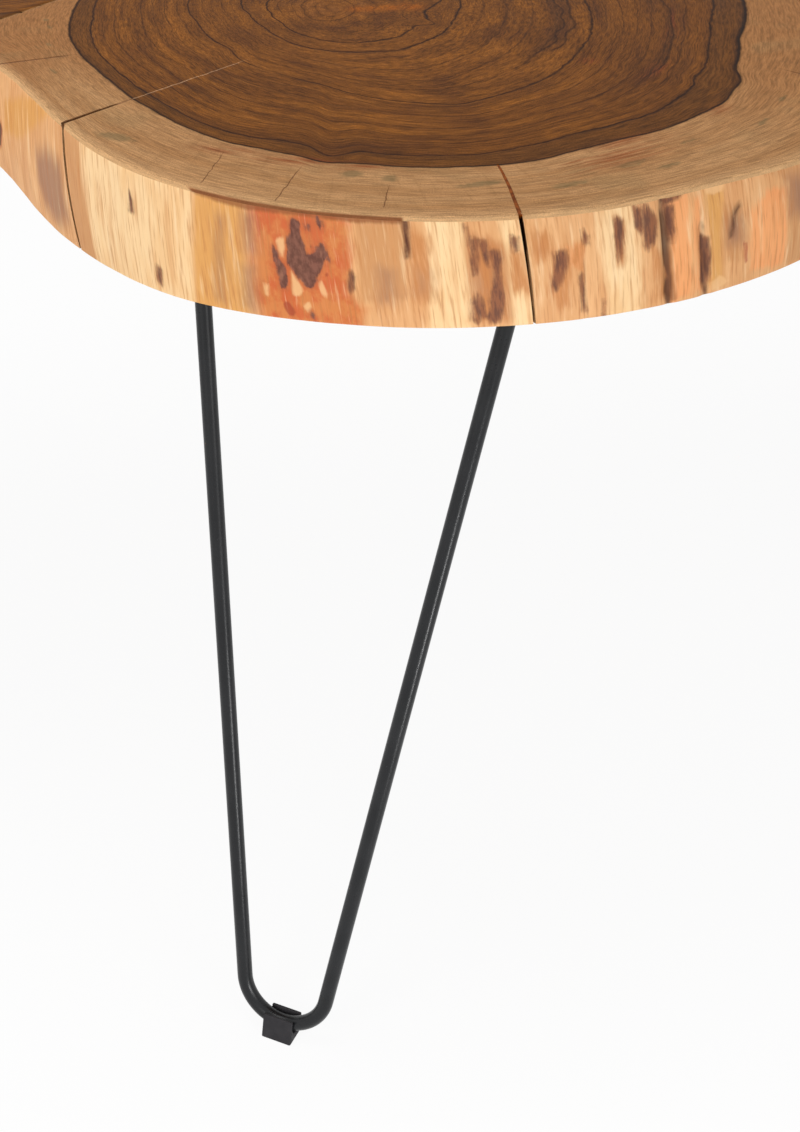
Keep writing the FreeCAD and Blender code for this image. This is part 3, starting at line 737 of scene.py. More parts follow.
def ring_table(words, wander=0.0, seed=0):
    """A ring's reach at every half degree, softened, with a seeded wander."""
    angles, reaches = read_table(words).T
    reach = np.interp(FINE_ANGLES, angles, reaches, period=360)
    luck = np.random.default_rng(seed)
    for wave in RING_WAVES:
        phase = luck.uniform(0, START)
        reach = reach + wander / wave ** CALMING * np.sin(np.radians(FINE_ANGLES) * wave + phase)
    more = len(WEIGHTS) // 2
    whole = np.concatenate([reach[-more:], reach, reach[:more]])
    return np.convolve(whole, WEIGHTS / WEIGHTS.sum(), "valid")


ring_tables = {"front": {ring: ring_table(words) for ring, words in FRONT_RINGS.items()}}
for seed, (name, words) in enumerate(HEARTS.items(), start=11):
    heart = ring_table(words, HEART_WANDER, seed)
    ring_tables[name] = {ring: heart * share - less + ring_table("0:0", wander, seed + shift)
                         for ring, (share, less, wander, shift) in OTHER_RINGS.items()}
    ring_tables[name]["heart"] = heart
for name, table in ring_tables.items():
    print(name, "heartwood reaches", round(table["heart"].min()), "to", round(table["heart"].max()), "mm")


# %% Age at any point
# Half degrees the young sapwood is averaged over, its depth, and how far outside it the bark is: at
# least, and towards the joints, where a slice has no rim
AVERAGED, YOUNG_DEPTH, LEAST_TO_BARK, NO_RIM = 81, 9, 16, 60


def wood_age(name, angle, reach):
    """Age by the known rings, and the distance outside the heartwood's edge, both in millimetres."""
    stations, ages = [np.zeros(len(angle))], [0.0]
    for ring, table in ring_tables[name].items():
        stations.append(np.interp(angle, FINE_ANGLES, table, period=360))
        ages.append(AGES[ring])
    outside = reach - stations[-1]
    count = len(FINE_ANGLES)
    smooth = np.convolve(np.tile(table, 3), np.full(AVERAGED, 1 / AVERAGED), "same")[count:2 * count]
    young = np.maximum(np.interp(angle, FINE_ANGLES, smooth, period=360), stations[-1]) + YOUNG_DEPTH
    (first, last, upper), _ = rims[name]
    on_rim = (angle > first) & (angle < last)
    rim = np.where(on_rim, upper(np.clip(angle, first, last)), young + NO_RIM)
    stations += [young, np.maximum(rim, young + LEAST_TO_BARK)]
    ages += [AGES["young_sap"], AGES["bark"]]
    age = np.zeros(len(angle))
    for i in range(len(ages) - 1):
        share = (reach - stations[i]) / (stations[i + 1] - stations[i])
        beyond = np.inf if i == len(ages) - 2 else 1
        age += (ages[i + 1] - ages[i]) * np.clip(share, 0, beyond)
    return age, outside


# %% [markdown]
# ## Marks on the wood
# A few marks are particular: grey-green mineral streaks and a blush in the sapwood, fine splits
# that run towards the pith, and on the bark side islands of dark inner bark on orange and cream
# wood. Each is a short list of places. The mesh stores how near a point is to one, and the finish
# breaks up the edges with noise, so they look grown and not stamped.

# %% Marks on the flat face
# Angle, reach, half size outwards, half size along the ring
SPOTS = {
    "front": {
        "mineral": """
        -87:214:5:6 -83:220:4:5 -74:233:3:14 -66:246:3:12 -173:148:1.5:5 -168:146:1.5:5 -158:150:1.5:5
        -32:240:1.5:7 -39:246:1.5:10 -55:250:2:9 -49:236:1.5:6 20:240:2:9 -145:160:1.2:6 -118:196:5:12
        -58:240:3:10""",
        "blush": """
        -58:232:8:26 -93:200:4:20 -39:224:3:8 -55:219:3:16 -103:193:4:14 -33:144:3:4 -86:207:3:10
        -31:176:3:12 -63:226:3:10 -9:169:3:20""",
        "glow": "-8:9:4:4 -2:17:5:4 2:26:6:4 4:36:6:5",
        "shade": """
        -65:112:18:7 -66.5:138:20:7 -68:166:18:8 -28:86:9:12 -18:118:6:16 -4:131:5:22 -4:172:6:20
        -35:183:7:12 -31:139:5:14 -118:128:5:24 -52:34:6:9 -30:26:5:8 -64:26:4:9 -100:31:4:14 -132:66:9:18
        -86:186:10:26""",
    },
    "left": {
        "mineral": "80:215:3:12 150:205:2:8 220:200:3:12",
        "blush": "120:200:8:22",
        "glow": "20:14:9:12",
        "shade": "100:90:14:22 210:150:12:20 300:110:9:25",
    },
    "right": {
        "mineral": "-20:240:3:12 40:250:2:8 100:200:3:12",
        "blush": "10:235:8:22",
        "glow": "-60:14:9:12",
        "shade": "60:90:14:22 -20:150:12:20 140:110:9:25",
    },
}
# Outer angle and reach, inner angle and reach, width, and 1 where it shows pale inside the heartwood
SPLITS = {
    "front": """
    -125.2:160:-118:84:0.55:1 -126.9:198:-125:154:1.4:0 -152.6:182:-150.7:138:1.25:0
    -102.7:227:-102.9:190:0.4:0 -94.4:240:-92.6:202:0.5:0 -84.3:247:-83:222:0.45:0
    -24.5:250:-22.5:222:0.6:0""",
    "left": "133:226:130:175:0.5:1 222:232:224:180:0.5:0 172:228:171:190:0.4:0",
    "right": "24:282:27:205:0.5:1 92:232:90:180:0.5:0 -18:262:-16:215:0.4:0",
}
# Pieces of dark ring that wander on their own: reach by angle, and the angles between which they show
FOLDS = {
    "front": [("-64:131 -53:125 -43:121 -33:117 -25:119 -19:113 -13:117 -7:112 -2:115 4:110 9:112", -34, 12),
              ("-33:121 -25:124 -19:118 -13:122 -5:117 4:118 9:118", -28, 12),
              ("-53:182 -45:180 -35:176 -29:177 -19:171 -12:170 -7:167 -2:169 5:166 12:167", -32, 12)],
    "left": [("60:110 90:96 120:88", 70, 115),
             ("180:96 210:101 240:99", 185, 235)],
    "right": [("-60:96 -30:110 0:118", -50, -5),
              ("60:106 90:98 120:101", 65, 115)],
}
# Degrees that a piece of ring is softened over, and over which it fades out past its ends
FOLD_SOFTENING, FOLD_FADE = (-2.4, -1.2, 0, 1.2, 2.4), 10
# A split is felt this many degrees to both sides, and is this far away everywhere else
SPLIT_SIDE, FAR_AWAY = 40, 99.0


def nearest_turn(angle, middle):
    """The same angle, within half a turn of another."""
    return (angle - middle + 180) % 360 - 180 + middle


def spot_field(spots, angle, reach):
    """1 in the middle of a mark, fading outwards."""
    field = np.zeros(len(angle))
    for at_angle, at_reach, outwards, along in read_table(spots):
        turn = np.radians(nearest_turn(angle, at_angle) - at_angle)
        far = ((reach - at_reach) / outwards) ** 2 + (turn * reach / along) ** 2
        field = np.maximum(field, np.exp(-far))
    return field


def split_distance(split, offset, angle):
    """Signed distance to a split's straight line; far away on all other sides of the pith."""
    outer, inner = (split[1] * unit(split[0]), split[3] * unit(split[2]))
    way = (outer - inner) / math.dist(outer, inner)
    distance = (offset[:, 0] - inner[0]) * way[1] - (offset[:, 1] - inner[1]) * way[0]
    turn = nearest_turn(angle, split[0]) - split[0]
    return np.where(np.abs(turn) < SPLIT_SIDE, distance, np.copysign(FAR_AWAY, -turn))


def fold_distance(fold, angle, reach):
    """Distance outside a wandering ring, and 1 between its ends, fading to 0 beyond them."""
    words, first, last = fold
    angles, reaches = read_table(words).T
    turn = nearest_turn(angle, (first + last) / 2)
    beyond = np.maximum(np.maximum(first - turn, turn - last), 0)
    ring = sum(np.interp(turn + shift, angles, reaches) for shift in FOLD_SOFTENING) / len(FOLD_SOFTENING)
    return reach - ring, np.clip(1 - beyond / FOLD_FADE, 0, 1)


# %% Marks on the bark side
# Outlines drawn as degrees clockwise and height, with the lean undone, parted by semicolons
PATCHES = {
    "bark": """
    93:44 92.6:44 92.2:43 92.3:40 92.2:36 91.9:30 91.6:30 91.1:32 90.8:34 90.4:36 90.1:34 89.9:31 89.8:28
    90:26 90.3:28 90.8:24 91.2:22 91.5:17 92.3:14 92.7:16 93.1:19 93.5:22 94.1:25 94:28 93.8:32 93.8:35
    93.2:39 93.2:42; 95.1:32 94.9:32 94.7:29 94.7:26 94.1:24 94.1:17 94.4:14 94.7:13 95:14 95.1:21 95.2:28;
    90.7:46 90.4:46 90.1:44 90:41 90.2:40 90.6:42; 91.7:44 91.4:43 91.3:41 91.4:39 91.6:39 91.8:41; 91.5:36
    91.2:36 91.2:33 91.4:32; 92.5:5 92.2:4 92:1 92.1:0 92.5:2; 155.5:30 152.9:28 151.9:21 153.6:12 160:4
    159:25""",
    "brown": """
    77.3:40 77:39 77:35 77.2:26 77.5:24 77.6:28 77.5:34; 76.8:39 76.2:38 76.1:30 76.3:28 76.6:34; 76:34
    75.1:34 75.1:30 75.4:23 75.3:12 75.5:6 75.9:2 76.6:2 76.8:5 76.5:9 76.5:14 76:18 75.8:23 75.9:28;
    77.5:16 77.2:14 76.9:5 77.4:4 77.6:10; 78:13 77.8:12 77.8:2 78.1:3; 70.4:32 69.5:32 69.3:28 69.6:24
    70.2:18 70.7:14 70.9:17 70.6:24; 67.7:40 67.3:37 67.4:33 67.7:34; 68.3:21 68.1:20 68.1:12 68:3 68.3:4
    68.4:9; 64.7:43 64:41 64.1:34 64.4:27 64.7:24 64.9:36; 61.9:47 61.5:45 60.8:40 60.7:38 60.8:33 61.1:29
    61.5:30 61.7:26 62:28 61.9:35; 59.6:44 59:42 59.1:32 59.4:27 59.6:28 59.6:38; 77.8:45 77.6:44 77.4:35
    77.5:34; 88.4:21 88.1:24 87.9:22 88:17 88.4:15 88.6:17; 74:40 73.4:39 73.5:33 73.9:33; 62.7:46 62:44
    62.1:34 62.7:37; 56.3:27 55.5:26 55.5:18 55.8:8 56.1:2 56.6:8 56.5:21; 112.1:38 111.7:35 111.7:30
    112.2:30; 109:12 108.4:10 108.6:3 109.1:5; 82.9:48 82.6:48 82.8:34 83:34; 60.1:46 57.8:47 58.6:45
    59.4:44; 66.4:8 66.1:8 66.2:0 66.4:0""",
    "halo": """
    77.4:41 74.8:36 74.8:20 75.1:2 78.2:3 77.2:18 77.7:34; 70.7:33 69.2:32 69.1:24 69.3:7 70.4:7 71.1:16;
    64.8:44 63.9:40 64:24 64.8:22 65.1:34; 61.1:26 59.8:24 59.7:2 61.3:4 61.6:18; 82.7:44 80.9:40 81.6:12
    82.8:12; 68.9:34 67.9:34 68.1:23 69.3:26; 74.2:34 72.9:34 72.8:14 74.6:16;
    72:42 70.7:42 70.9:28 72.3:28""",
    "red": """
    95:8 94.5:8 94.2:6 93.9:4 94.1:2 94.4:1 94.8:3 95:6; 90.5:23 90.2:23 90.3:21 90.6:21; 51.9:20 51.5:19
    51.4:9 51.7:9""",
    "pale": """
    94.8:34 94.1:36 93.9:36 93.9:32 94.2:27 94.4:26 94.6:28 94.7:31; 93.7:22 93.2:18 92.8:14 93.3:11
    93.9:11; 91.4:18 91:19 90.6:14 90.8:11 91.1:13; 93:8 92.4:9 92.4:6 92.8:4 93.1:6; 96.6:15 96.1:15 96.3:9
    96.6:10; 55.5:47 53.4:47 53.5:44 54.4:43 55.4:44; 55.4:5 54.5:7 53.4:3 55.3:1""",
    "orange": "96.8:50 89.9:50 87.7:45 88.3:23 88.8:14 87.2:8 88:-2 97.2:-2 97.7:12",
    "peach": """
    59.6:46 57.3:46 57.7:2 59.6:0; 51:31 49:40 46.9:38 46.8:2 51:5; 57:44 56:44 56.4:2 57.4:2; 69.2:34
    67.9:34 68.1:23 69.3:26""",
    "yellow": """
    102.9:50 97.4:50 98.6:-2 104.3:-2; 149.9:35 135.6:50 129.5:50 143.3:25 151.2:21; 55.5:46 53.6:45 54.3:3
    55.6:5""",
    "tan": """
    126.4:50 121.9:50 120.6:-2 124.6:-2; 87.1:46 82.7:47 83.5:14 87.7:10; 72.4:41 70.7:40 70.9:31 72.5:31;
    53.5:38 51.9:36 51.8:25 52.3:11 53.9:13 54:27; 49.5:48 44:48 44:0 46.6:0 46.6:40""",
    # A painted shadow: a dark line along the top edge, where the bark-covered part meets it
    "rust": "104:47.7 82.9:47.7 82.9:45.4 87:44.6 92:45.2 98:44.2 103:45.8",
    "stain": """
    136.8:26 132:33 128.1:31 127.7:20 126.7:9 130.8:4 134.8:6 136.9:14; 98.4:20 97.4:21 98.1:2 98.8:4;
    100.5:38 100.1:38 101:4 101.5:5; 85.3:25 84.6:25 85:12 85.7:12; 82.4:26 81.4:25 81.6:16 82.6:16; 53.3:30
    52:30 52:20 53.3:20; 46.6:42 44.5:41 44.2:23 46.3:26; 97.8:42 96.8:42 97:28 97.9:28; 77.3:38 75.2:34
    75.3:6 77.6:8""",
    "cream": """
    122:50 102.9:50 104:-2 120.7:-2; 81:50 77.9:50 78.2:-2 82.2:-2; 66.3:50 62.8:50 62.5:-2 66:-2; 74.8:50
    73:50 73:-2 74.8:-2""",
}
# Creases in the bark side, darkened as painted shade, drawn likewise from the top down, and how soon they
# fade
CREASES = """
    60:48 59.9:45 59.7:39 59.7:25 59.7:16 59.4:2; 52.1:36 52.6:33 52.8:29 53.1:24; 82.8:48 82.8:42 83:32"""
CREASE_FADE = 1.1
# Patches reach no further than this many millimetres
PATCH_REACH = 20
# By chance on the other rims: the kinds, which of them are small, and the larger patch under one
CHANCES = ("bark", "orange", "brown", "stain", "cream", "cream", "tan", "yellow", "brown")
SMALL, UNDERLAY = ("bark", "brown", "stain"), {"bark": "orange", "brown": "halo"}
PATCH_CORNERS, UNDERLAY_SIZE = 14, 1.9
# The least and the greatest half height and half width in millimetres, if small and if not
HALF_SIZES = {True: ((5, 18), (1.5, 5)), False: ((24, 34), (6, 24))}


def corners(words):
    """Millimetres along the rim and up, from words such as 93:44."""
    clockwise, heights = read_table(words).T
    return np.column_stack([np.radians(-clockwise) * BARK_REACH, heights])


def patch_field(outlines, around, height):
    """Millimetres inside the nearest outline; negative outside all of them."""
    spots = np.column_stack([around, height])
    field = np.full(len(spots), -float(PATCH_REACH))
    for loop in outlines:
        near = (spots > loop.min(axis=0) - PATCH_REACH) & (spots < loop.max(axis=0) + PATCH_REACH)
        near = near.all(axis=1)
        depth = edge_distance(spots[near], loop)
        field[near] = np.maximum(field[near], np.where(inside(spots[near], loop), depth, -depth))
    return field


def scattered(seed, first, last):
    """Seeded outlines like the drawn ones, for the other rims."""
    luck = np.random.default_rng(seed)
    marks = {kind: [] for kind in PATCHES}
    turns = np.arange(PATCH_CORNERS) * 2 * math.pi / PATCH_CORNERS
    angle = first + 3
    while angle < last - 2:
        kind = CHANCES[luck.integers(len(CHANCES))]
        small = kind in SMALL
        tall, wide = (luck.uniform(*limits) for limits in HALF_SIZES[small])
        middle = np.array([math.radians(angle) * BARK_REACH, luck.uniform(8, 40) if small else 24])
        for size, layer in ((1, kind), (UNDERLAY_SIZE, UNDERLAY.get(kind))):
            reach = luck.uniform(0.65, 1.15, PATCH_CORNERS)
            if layer:
                ring = np.column_stack([np.cos(turns) * reach * wide, np.sin(turns) * reach * tall])
                marks[layer].append(middle + ring * size)
        angle += math.degrees(wide / BARK_REACH) + luck.uniform(1.0, 4.0)
    return marks


patches = {"front": {kind: [corners(words) for words in drawn.split(";")]
                     for kind, drawn in PATCHES.items()}}
# Up to this angle the front slice's patches are drawn, and beyond it they are left to chance
DRAWN_UP_TO = -43
for kind, marks in scattered(21, DRAWN_UP_TO, rims["front"][0][1]).items():
    patches["front"][kind] += marks
for seed, name in ((22, "left"), (23, "right")):
    patches[name] = scattered(seed, rims[name][0][0], rims[name][0][1])
print("bark-side marks:", {name: sum(map(len, marks.values())) for name, marks in patches.items()})


def crease_field(name, around, height):
    """1 on a crease, fading over a millimetre or so."""
    spots, field = np.column_stack([around, height]), np.zeros(len(around))
    for words in CREASES.split(";") if name == "front" else []:
        way = corners(words)
        distance = edge_distance(spots, np.concatenate([way, way[::-1]]))
        field = np.maximum(field, np.exp(-(distance / CREASE_FADE) ** 2))
    return field


# %% Storing the values on the slices
def store(mesh, name, values):
    """One value, or one vector, for each corner of the mesh."""
    kind, field = ("FLOAT", "value") if values.ndim == 1 else ("FLOAT_VECTOR", "vector")
    layer = mesh.attributes.new(name, kind, "POINT")
    layer.data.foreach_set(field, np.ascontiguousarray(values, dtype=np.float32).ravel())


for name, mesh in slices.items():
    points = mesh_points(mesh)
    angle, reach = polar(name, points)
    offset = points[:, :2] - PITHS[name]
    age, outside = wood_age(name, angle, reach)
    turn, around, height = skin_place(name, points)
    way = np.column_stack([offset / np.maximum(reach, 0.5)[:, None], points[:, 2] * 0])
    values = {"age": age, "outside_heart": outside, "reach": reach, "way": way, "around": around,
              "height": height, "check": check_field(name, points),
              "groove": groove_depth(name, turn, height), "crease": crease_field(name, around, height)}
    marks = {kind: spot_field(spots, angle, reach) for kind, spots in SPOTS[name].items()}
    marks.update({kind: patch_field(drawn, around, height) for kind, drawn in patches[name].items()})
    for number, split in enumerate(read_table(SPLITS[name])):
        values["split_%d" % number] = split_distance(split, offset, angle)
    for number, fold in enumerate(FOLDS[name]):
        values["fold_%d" % number], values["fold_share_%d" % number] = fold_distance(fold, angle, reach)
    for layer, numbers in {**values, **marks}.items():
        store(mesh, layer, numbers)
    print(name, "stores", len(marks), "mark layers; oldest wood", round(float(age.max())), "mm out")


# %% [markdown]
# ## End grain
# Sawn across, the trunk shows brown heartwood inside pale sapwood, with thin dark lines where a
# year ended dark. The finish is built up as a painter would: a brown and a tan ground, cloudy
# bands along the rings, fine fibre, then the lines, the splits and the marks on top.

# %% The ring lines
# Age of a dark line, its half width in millimetres and its strength
RING_LINES = """
    7:0.9:0.4 13:0.8:0.4 20:1:0.6 27:0.8:0.45 37:0.8:0.45 45:1.2:1 60:1.2:1 70:0.7:0.35 80:1:0.5 91:0.8:0.4
    101:0.8:0.4 115:1.2:0.9 124:0.8:0.4 134:0.9:0.55 143:0.8:0.4 152:0.9:0.5 162:0.8:0.45 172:0.9:0.5
    180:0.7:0.35 188:1.2:0.95"""
# Ages of the pale ovals round the pith, and how far a strong line and a weak one may fade
PALE_OVALS = (3.5, 10, 16.5, 23.5)
STRONG, STRONG_LEAST, WEAK_LEAST = 0.92, 0.75, 0.2
THICK = TOP - UNDER


def end_grain(name):
    """The finish of one slice's sawn and sanded faces."""
    wood = Finish(name + "_end_grain")
    step, line, noise, stored = wood.step, wood.line, wood.noise, wood.attribute
    age, outside, reach, height = map(stored, ("age", "outside_heart", "reach", "height"))
    way = stored("way", "Vector")
    east, north = (wood.node("ShaderNodeSeparateXYZ", {0: way}, output) for output in (0, 1))
    point = wood.place()
    clouds, wobble = noise(point, 0.018, 3), noise(point, 0.05, 4, 0.6)
    quiver = (noise(point, 0.14, 4, 0.6) - 0.5) * 2.6
    in_heart = step(outside + quiver * 0.5, 0.6, -0.6)
    ring_age = age + (clouds - 0.5) * (in_heart * 5 + 2) + quiver * (in_heart * 0.4 + 0.03)

    def along_rings(across, along, detail):
        """Noise drawn out along the rings: features 1 / across thick."""
        return noise(wood.join(east * along, north * along, ring_age * across), 1.0, detail, 0.6)

    bands, years, fibre = along_rings(0.09, 1.6, 3), along_rings(0.4, 3.5, 4), along_rings(1.3, 22.0, 3)
    rays = noise(wood.join(east * 110, north * 110, age * 0.03), 1.0, 2)
    pores = noise(point, 1.7, 3, 0.7)

    ovals = [line(age + quiver * 0.5 - pale_age, 2.4) * step(wobble, 0.4, 0.6) for pale_age in PALE_OVALS]
    heart = wood.coats(
        wood.between(bands, 0.3, 0.7, (98, 56, 17), (132, 80, 30)),
        (step(years, 0.5, 0.7) * 0.7, (78, 44, 16)),
        (step(years, 0.45, 0.28) * 0.3, (152, 98, 46)),
        (step(wobble, 0.52, 0.72) * 0.35, (92, 53, 24)),
        (stored("shade") * (step(years, 0.3, 0.6) * 0.6 + 0.3) * 0.7, (76, 42, 18)),
        # Painted shade: the heartwood darker towards the right, where less light falls
        (step(east, 0.5, 0.95) * step(age, 90, 150) * 0.4, (84, 48, 22)),
        (step(age, 34, 16) * step(years, 0.6, 0.35) * 0.2, (146, 88, 38)),
        *[(oval * 0.3, (158, 100, 50)) for oval in ovals],
        (stored("glow") * step(years, 0.25, 0.55) * 0.85, (164, 88, 22)),
        (step(age, 187, 190) * 0.5, (86, 53, 22)))

    grey = stored("mineral") + (noise(point, 0.3, 3) - 0.5) * 0.9
    grey = step(grey, 0.3, 0.8) * (step(pores, 0.4, 0.6) * 0.6 + 0.4)
    sap = wood.coats(
        wood.between(bands, 0.3, 0.7, (164, 119, 76), (180, 136, 92)),
        (step(east * east, 0.4, 0.9) * 0.8, (150, 100, 58)),
        (step(years, 0.5, 0.75) * 0.45, (142, 99, 62)),
        (step(rays, 0.52, 0.75) * 0.3, (142, 104, 66)),
        (step(outside, 22, 0) * step(wobble, 0.45, 0.65) * 0.45, (150, 104, 64)),
        (step(noise(point, 0.03, 3), 0.55, 0.7) * 0.3, (146, 118, 80)),
        (grey * 0.75, (104, 92, 62)),
        (step(along_rings(0.8, 8.0, 1), 0.7, 0.78) * 0.5, (112, 80, 50)))

    rounded = step(height, THICK, THICK - 1) * step(height, THICK - 8, THICK - 4)
    # Painted shadow: a dark line along the top edge, over the bark-covered part
    rust = step(stored("rust") + quiver * 0.3, -0.7, 0.5)
    colour = wood.coats(
        wood.blend(in_heart, sap, heart),
        (stored("blush") * step(years, 0.35, 0.6) * 0.85, (130, 64, 32)),
        # Painted highlight: the outer sapwood paler towards the rim
        (step(age, AGES["bark"] - 12, AGES["bark"]) * 0.55, (204, 162, 116)),
        # Painted highlight on the rounded top edge
        (rounded * 0.8, (214, 170, 122)),
        # The painted shadow line, on the rounded top edge
        (rust * rounded * 0.9, (124, 70, 40)))

    faded = noise(wood.join(east * 1.8, north * 1.8, age * 0.06), 1.0, 3)
    shaken = age + quiver * 0.9 + (wobble - 0.5) * 3
    edge = outside + quiver * 0.6
    broad = step(east, 0.72, 0.95)
    darks = [line(edge, 1.3), line(edge + 0.4, 2.2) * broad]
    shadows = [step(edge, -6, 0) * in_heart * (broad * 0.3 + 0.25),
               line(shaken - AGES["second"], 5.0) * 0.2 + line(shaken - AGES["inner"], 4.0) * 0.15]
    for line_age, width, strength in read_table(RING_LINES).tolist():
        share = step(faded + (line_age % 7) * 0.02, 0.28, 0.58)
        least = STRONG_LEAST if strength > STRONG else WEAK_LEAST
        darks.append(line(shaken - line_age, width) * (share * (1 - least) + least) * strength)
    for number in range(len(FOLDS[name])):
        fold = stored("fold_%d" % number) + quiver * 1.2
        share = step(stored("fold_share_%d" % number), 0.1, 0.9)
        darks.append(line(fold, 1.2) * share * 0.7)
        shadows.append(line(fold + 2, 6.0) * share * 0.45)
    dark = greatest(*darks)
    colour = wood.coats(colour, (greatest(*shadows), (72, 42, 23)), (dark * 0.95, (30, 15, 8)))

    jog, cracks = (noise(point, 0.16, 3) - 0.5) * 2.2, []
    for number, (_, outer, _, inner, width, pale) in enumerate(read_table(SPLITS[name]).tolist()):
        mark = line(stored("split_%d" % number) + jog, width)
        mark = mark * step(reach, inner, inner + 14) * step(reach, outer + 3, outer)
        tone = wood.blend(in_heart * pale, paint(84, 44, 24), paint(190, 150, 112))
        colour = wood.blend(mark * 0.8, colour, tone)
        cracks.append(mark)

    # Grain is weaker in the sapwood, and half as strong under the painted highlight of the rounded edge
    strength = (in_heart * 0.35 + 0.65) * (1 - rounded * 0.5)
    for grain, low, high in ((fibre, 0.56, 1.34), (pores, 0.62, 1.36)):
        veil = wood.blend(step(grain, 0.3, 0.7), (low, low, low, 1), (high, high, high, 1))
        colour = wood.blend(strength, colour, veil, "MULTIPLY")
    # Painted shade on the walls inside the open checks
    in_check = stored("check") * step(height, THICK - 0.1, THICK - 1) * step(height, 0.1, 0.8)
    colour = wood.coats(colour, (in_check * 0.9, (72, 36, 20)))
    relief = fibre * 0.04 + pores * 0.05 - dark * 0.06 - greatest(*cracks) * 0.3
    rough = 0.52 + (bands - 0.5) * 0.12 + in_heart * -0.04
    return wood.surface(colour, rough, relief, 0.3, Specular_IOR_Level=0.02)


grain_finishes = {name: end_grain(name) for name in slices}
print("end grain uses", len(grain_finishes["front"].node_tree.nodes), "nodes")

# %% [markdown]
# ## The bark side
# The bark has been peeled off. Under it the wood is cream to honey, with long thin fibres, inner
# bark has dried orange in places, and dark islands of bark still cling on. The patch values say
# where; noise that is long down the fibres and narrow across them gives every edge its grain.

# %% The bark-side finish
def bark_side(name):
    """The finish of one slice's natural edge."""
    skin = Finish(name + "_bark_side")
    step, between, stored = skin.step, skin.between, skin.attribute
    around, height, crease = map(stored, ("around", "height", "crease"))

    def fibres(across, down, offset=0.0, detail=3, rough=0.55):
        """Noise drawn out down the fibres: features 1 / across wide and 1 / down long."""
        return skin.noise(skin.join(around * across, height * down, offset), 1.0, detail, rough)

    fine, streak, broad = fibres(0.9, 0.05), fibres(0.3, 0.022, 5.0), fibres(0.07, 0.02, 9.0)
    ragged = (fibres(0.28, 0.05, 20.0) - 0.5) * 6 + (fibres(0.9, 0.09, 25.0) - 0.5) * 5
    bite = (fibres(0.4, 0.28, 70.0, 4, 0.65) - 0.5) * 6

    def patch(kind, soft, rag=1.0):
        """1 inside a kind of patch, with edges soft over some millimetres and frayed by the fibres."""
        return step(stored(kind) + ragged * rag, -soft, soft)

    creamy = between(broad, 0.4, 0.6, (244, 198, 142), (252, 214, 162))
    peach = skin.blend(broad, paint(238, 148, 88), paint(252, 178, 116))
    orange = between(fibres(0.12, 0.08, 40.0, 4, 0.6), 0.4, 0.6, (212, 126, 66), (204, 92, 46))
    streaky = step(fibres(0.3, 0.03, 110.0), 0.3, 0.58) * 0.6 + 0.4
    brown = between(fibres(0.7, 0.12, 50.0), 0.38, 0.62, (142, 88, 60), (98, 62, 52))
    brown_core = step(stored("brown") + ragged * 0.4 + bite * 0.3, -1.6, 0.8)
    brown_core = brown_core * step(fibres(0.8, 0.08, 60.0, 2), 0.2, 0.42)
    island = skin.coats(
        between(fibres(0.5, 0.3, 31.0), 0.35, 0.65, (94, 62, 54), (128, 86, 72)),
        (step(fibres(0.5, 0.07, 81.0), 0.56, 0.7) * 0.5, (168, 118, 92)))
    edge = stored("bark") + ragged * 0.3 + bite * 0.45
    bark = step(edge, -0.4, 0.7)
    # Painted shade in the deep grooves, broken into streaks down the fibres
    groove_shade_breakup = step(fibres(0.15, 0.05, 90.0, 2), 0.4, 0.56) * 0.7 + 0.3
    dark = greatest(step(stored("groove"), 0.4, 1.6) * groove_shade_breakup, crease)
    colour = skin.coats(
        between(broad, 0.35, 0.65, (222, 162, 108), (236, 182, 128)),
        (patch("cream", 2.0), creamy),
        (patch("yellow", 2.5) * 0.85, (226, 164, 90)),
        (patch("peach", 2.0) * 0.85, peach),
        (patch("tan", 2.0) * 0.85, (208, 150, 98)),
        (step(streak, 0.5, 0.7) * 0.5, (214, 150, 94)),
        # Pale fibre streaks, partly painted highlight
        (step(streak, 0.45, 0.3) * 0.45, (254, 222, 176)),
        (patch("orange", 3.5) * 0.9, orange),
        (patch("stain", 6.0) * 0.75, (150, 108, 88)),
        (patch("halo", 3.4, 1.5) * streaky * 0.95, (202, 132, 76)),
        (step(fine, 0.5, 0.7) * 0.6, (192, 122, 70)),
        # Fine pale fibres, partly painted highlight
        (step(fine, 0.42, 0.25) * 0.3, (255, 226, 180)),
        (patch("brown", 1.6, 0.8) * 0.65, (180, 114, 64)),
        (brown_core * 0.9, brown),
        # The painted shadow line under the top edge
        (patch("rust", 0.9, 0.2) * 0.75, (140, 78, 42)),
        (patch("pale", 0.7, 0.3) * 0.8, (240, 190, 134)),
        (patch("red", 0.6, 0.2) * 0.8, (168, 72, 46)),
        (step(edge, -1.9, -0.2) * 0.5, (190, 100, 60)),
        (bark * 0.93, island),
        # Painted shade in the grooves and creases
        (dark * 0.85, (74, 40, 28)))
    relief = fine * 0.25 + streak * 0.5 + bark * 0.35 - crease * 0.6
    return skin.surface(colour, 0.5 + fine * 0.12 + bark * 0.15, relief, 0.5, Specular_IOR_Level=0.2)


for name, mesh in slices.items():
    mesh.materials.append(grain_finishes[name])
    mesh.materials.append(bark_side(name))
print("bark side uses", len(mesh.materials[1].node_tree.nodes), "nodes")

# %% Setting the slices in place
def set_in_place(piece, slot_name, *nodes):
    """Links a finished piece, lets it stand for CAD nodes, and ties it to the table's one body."""
    place_in_scene(piece)
    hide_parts(*nodes)
    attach(piece, "root")


def shade_smooth(mesh, degrees):
    """Smooth shading, but for the edges that turn by more than an angle."""
    mesh.polygons.foreach_set("use_smooth", [True] * len(mesh.polygons))
    mesh.set_sharp_from_angle(angle=math.radians(degrees))


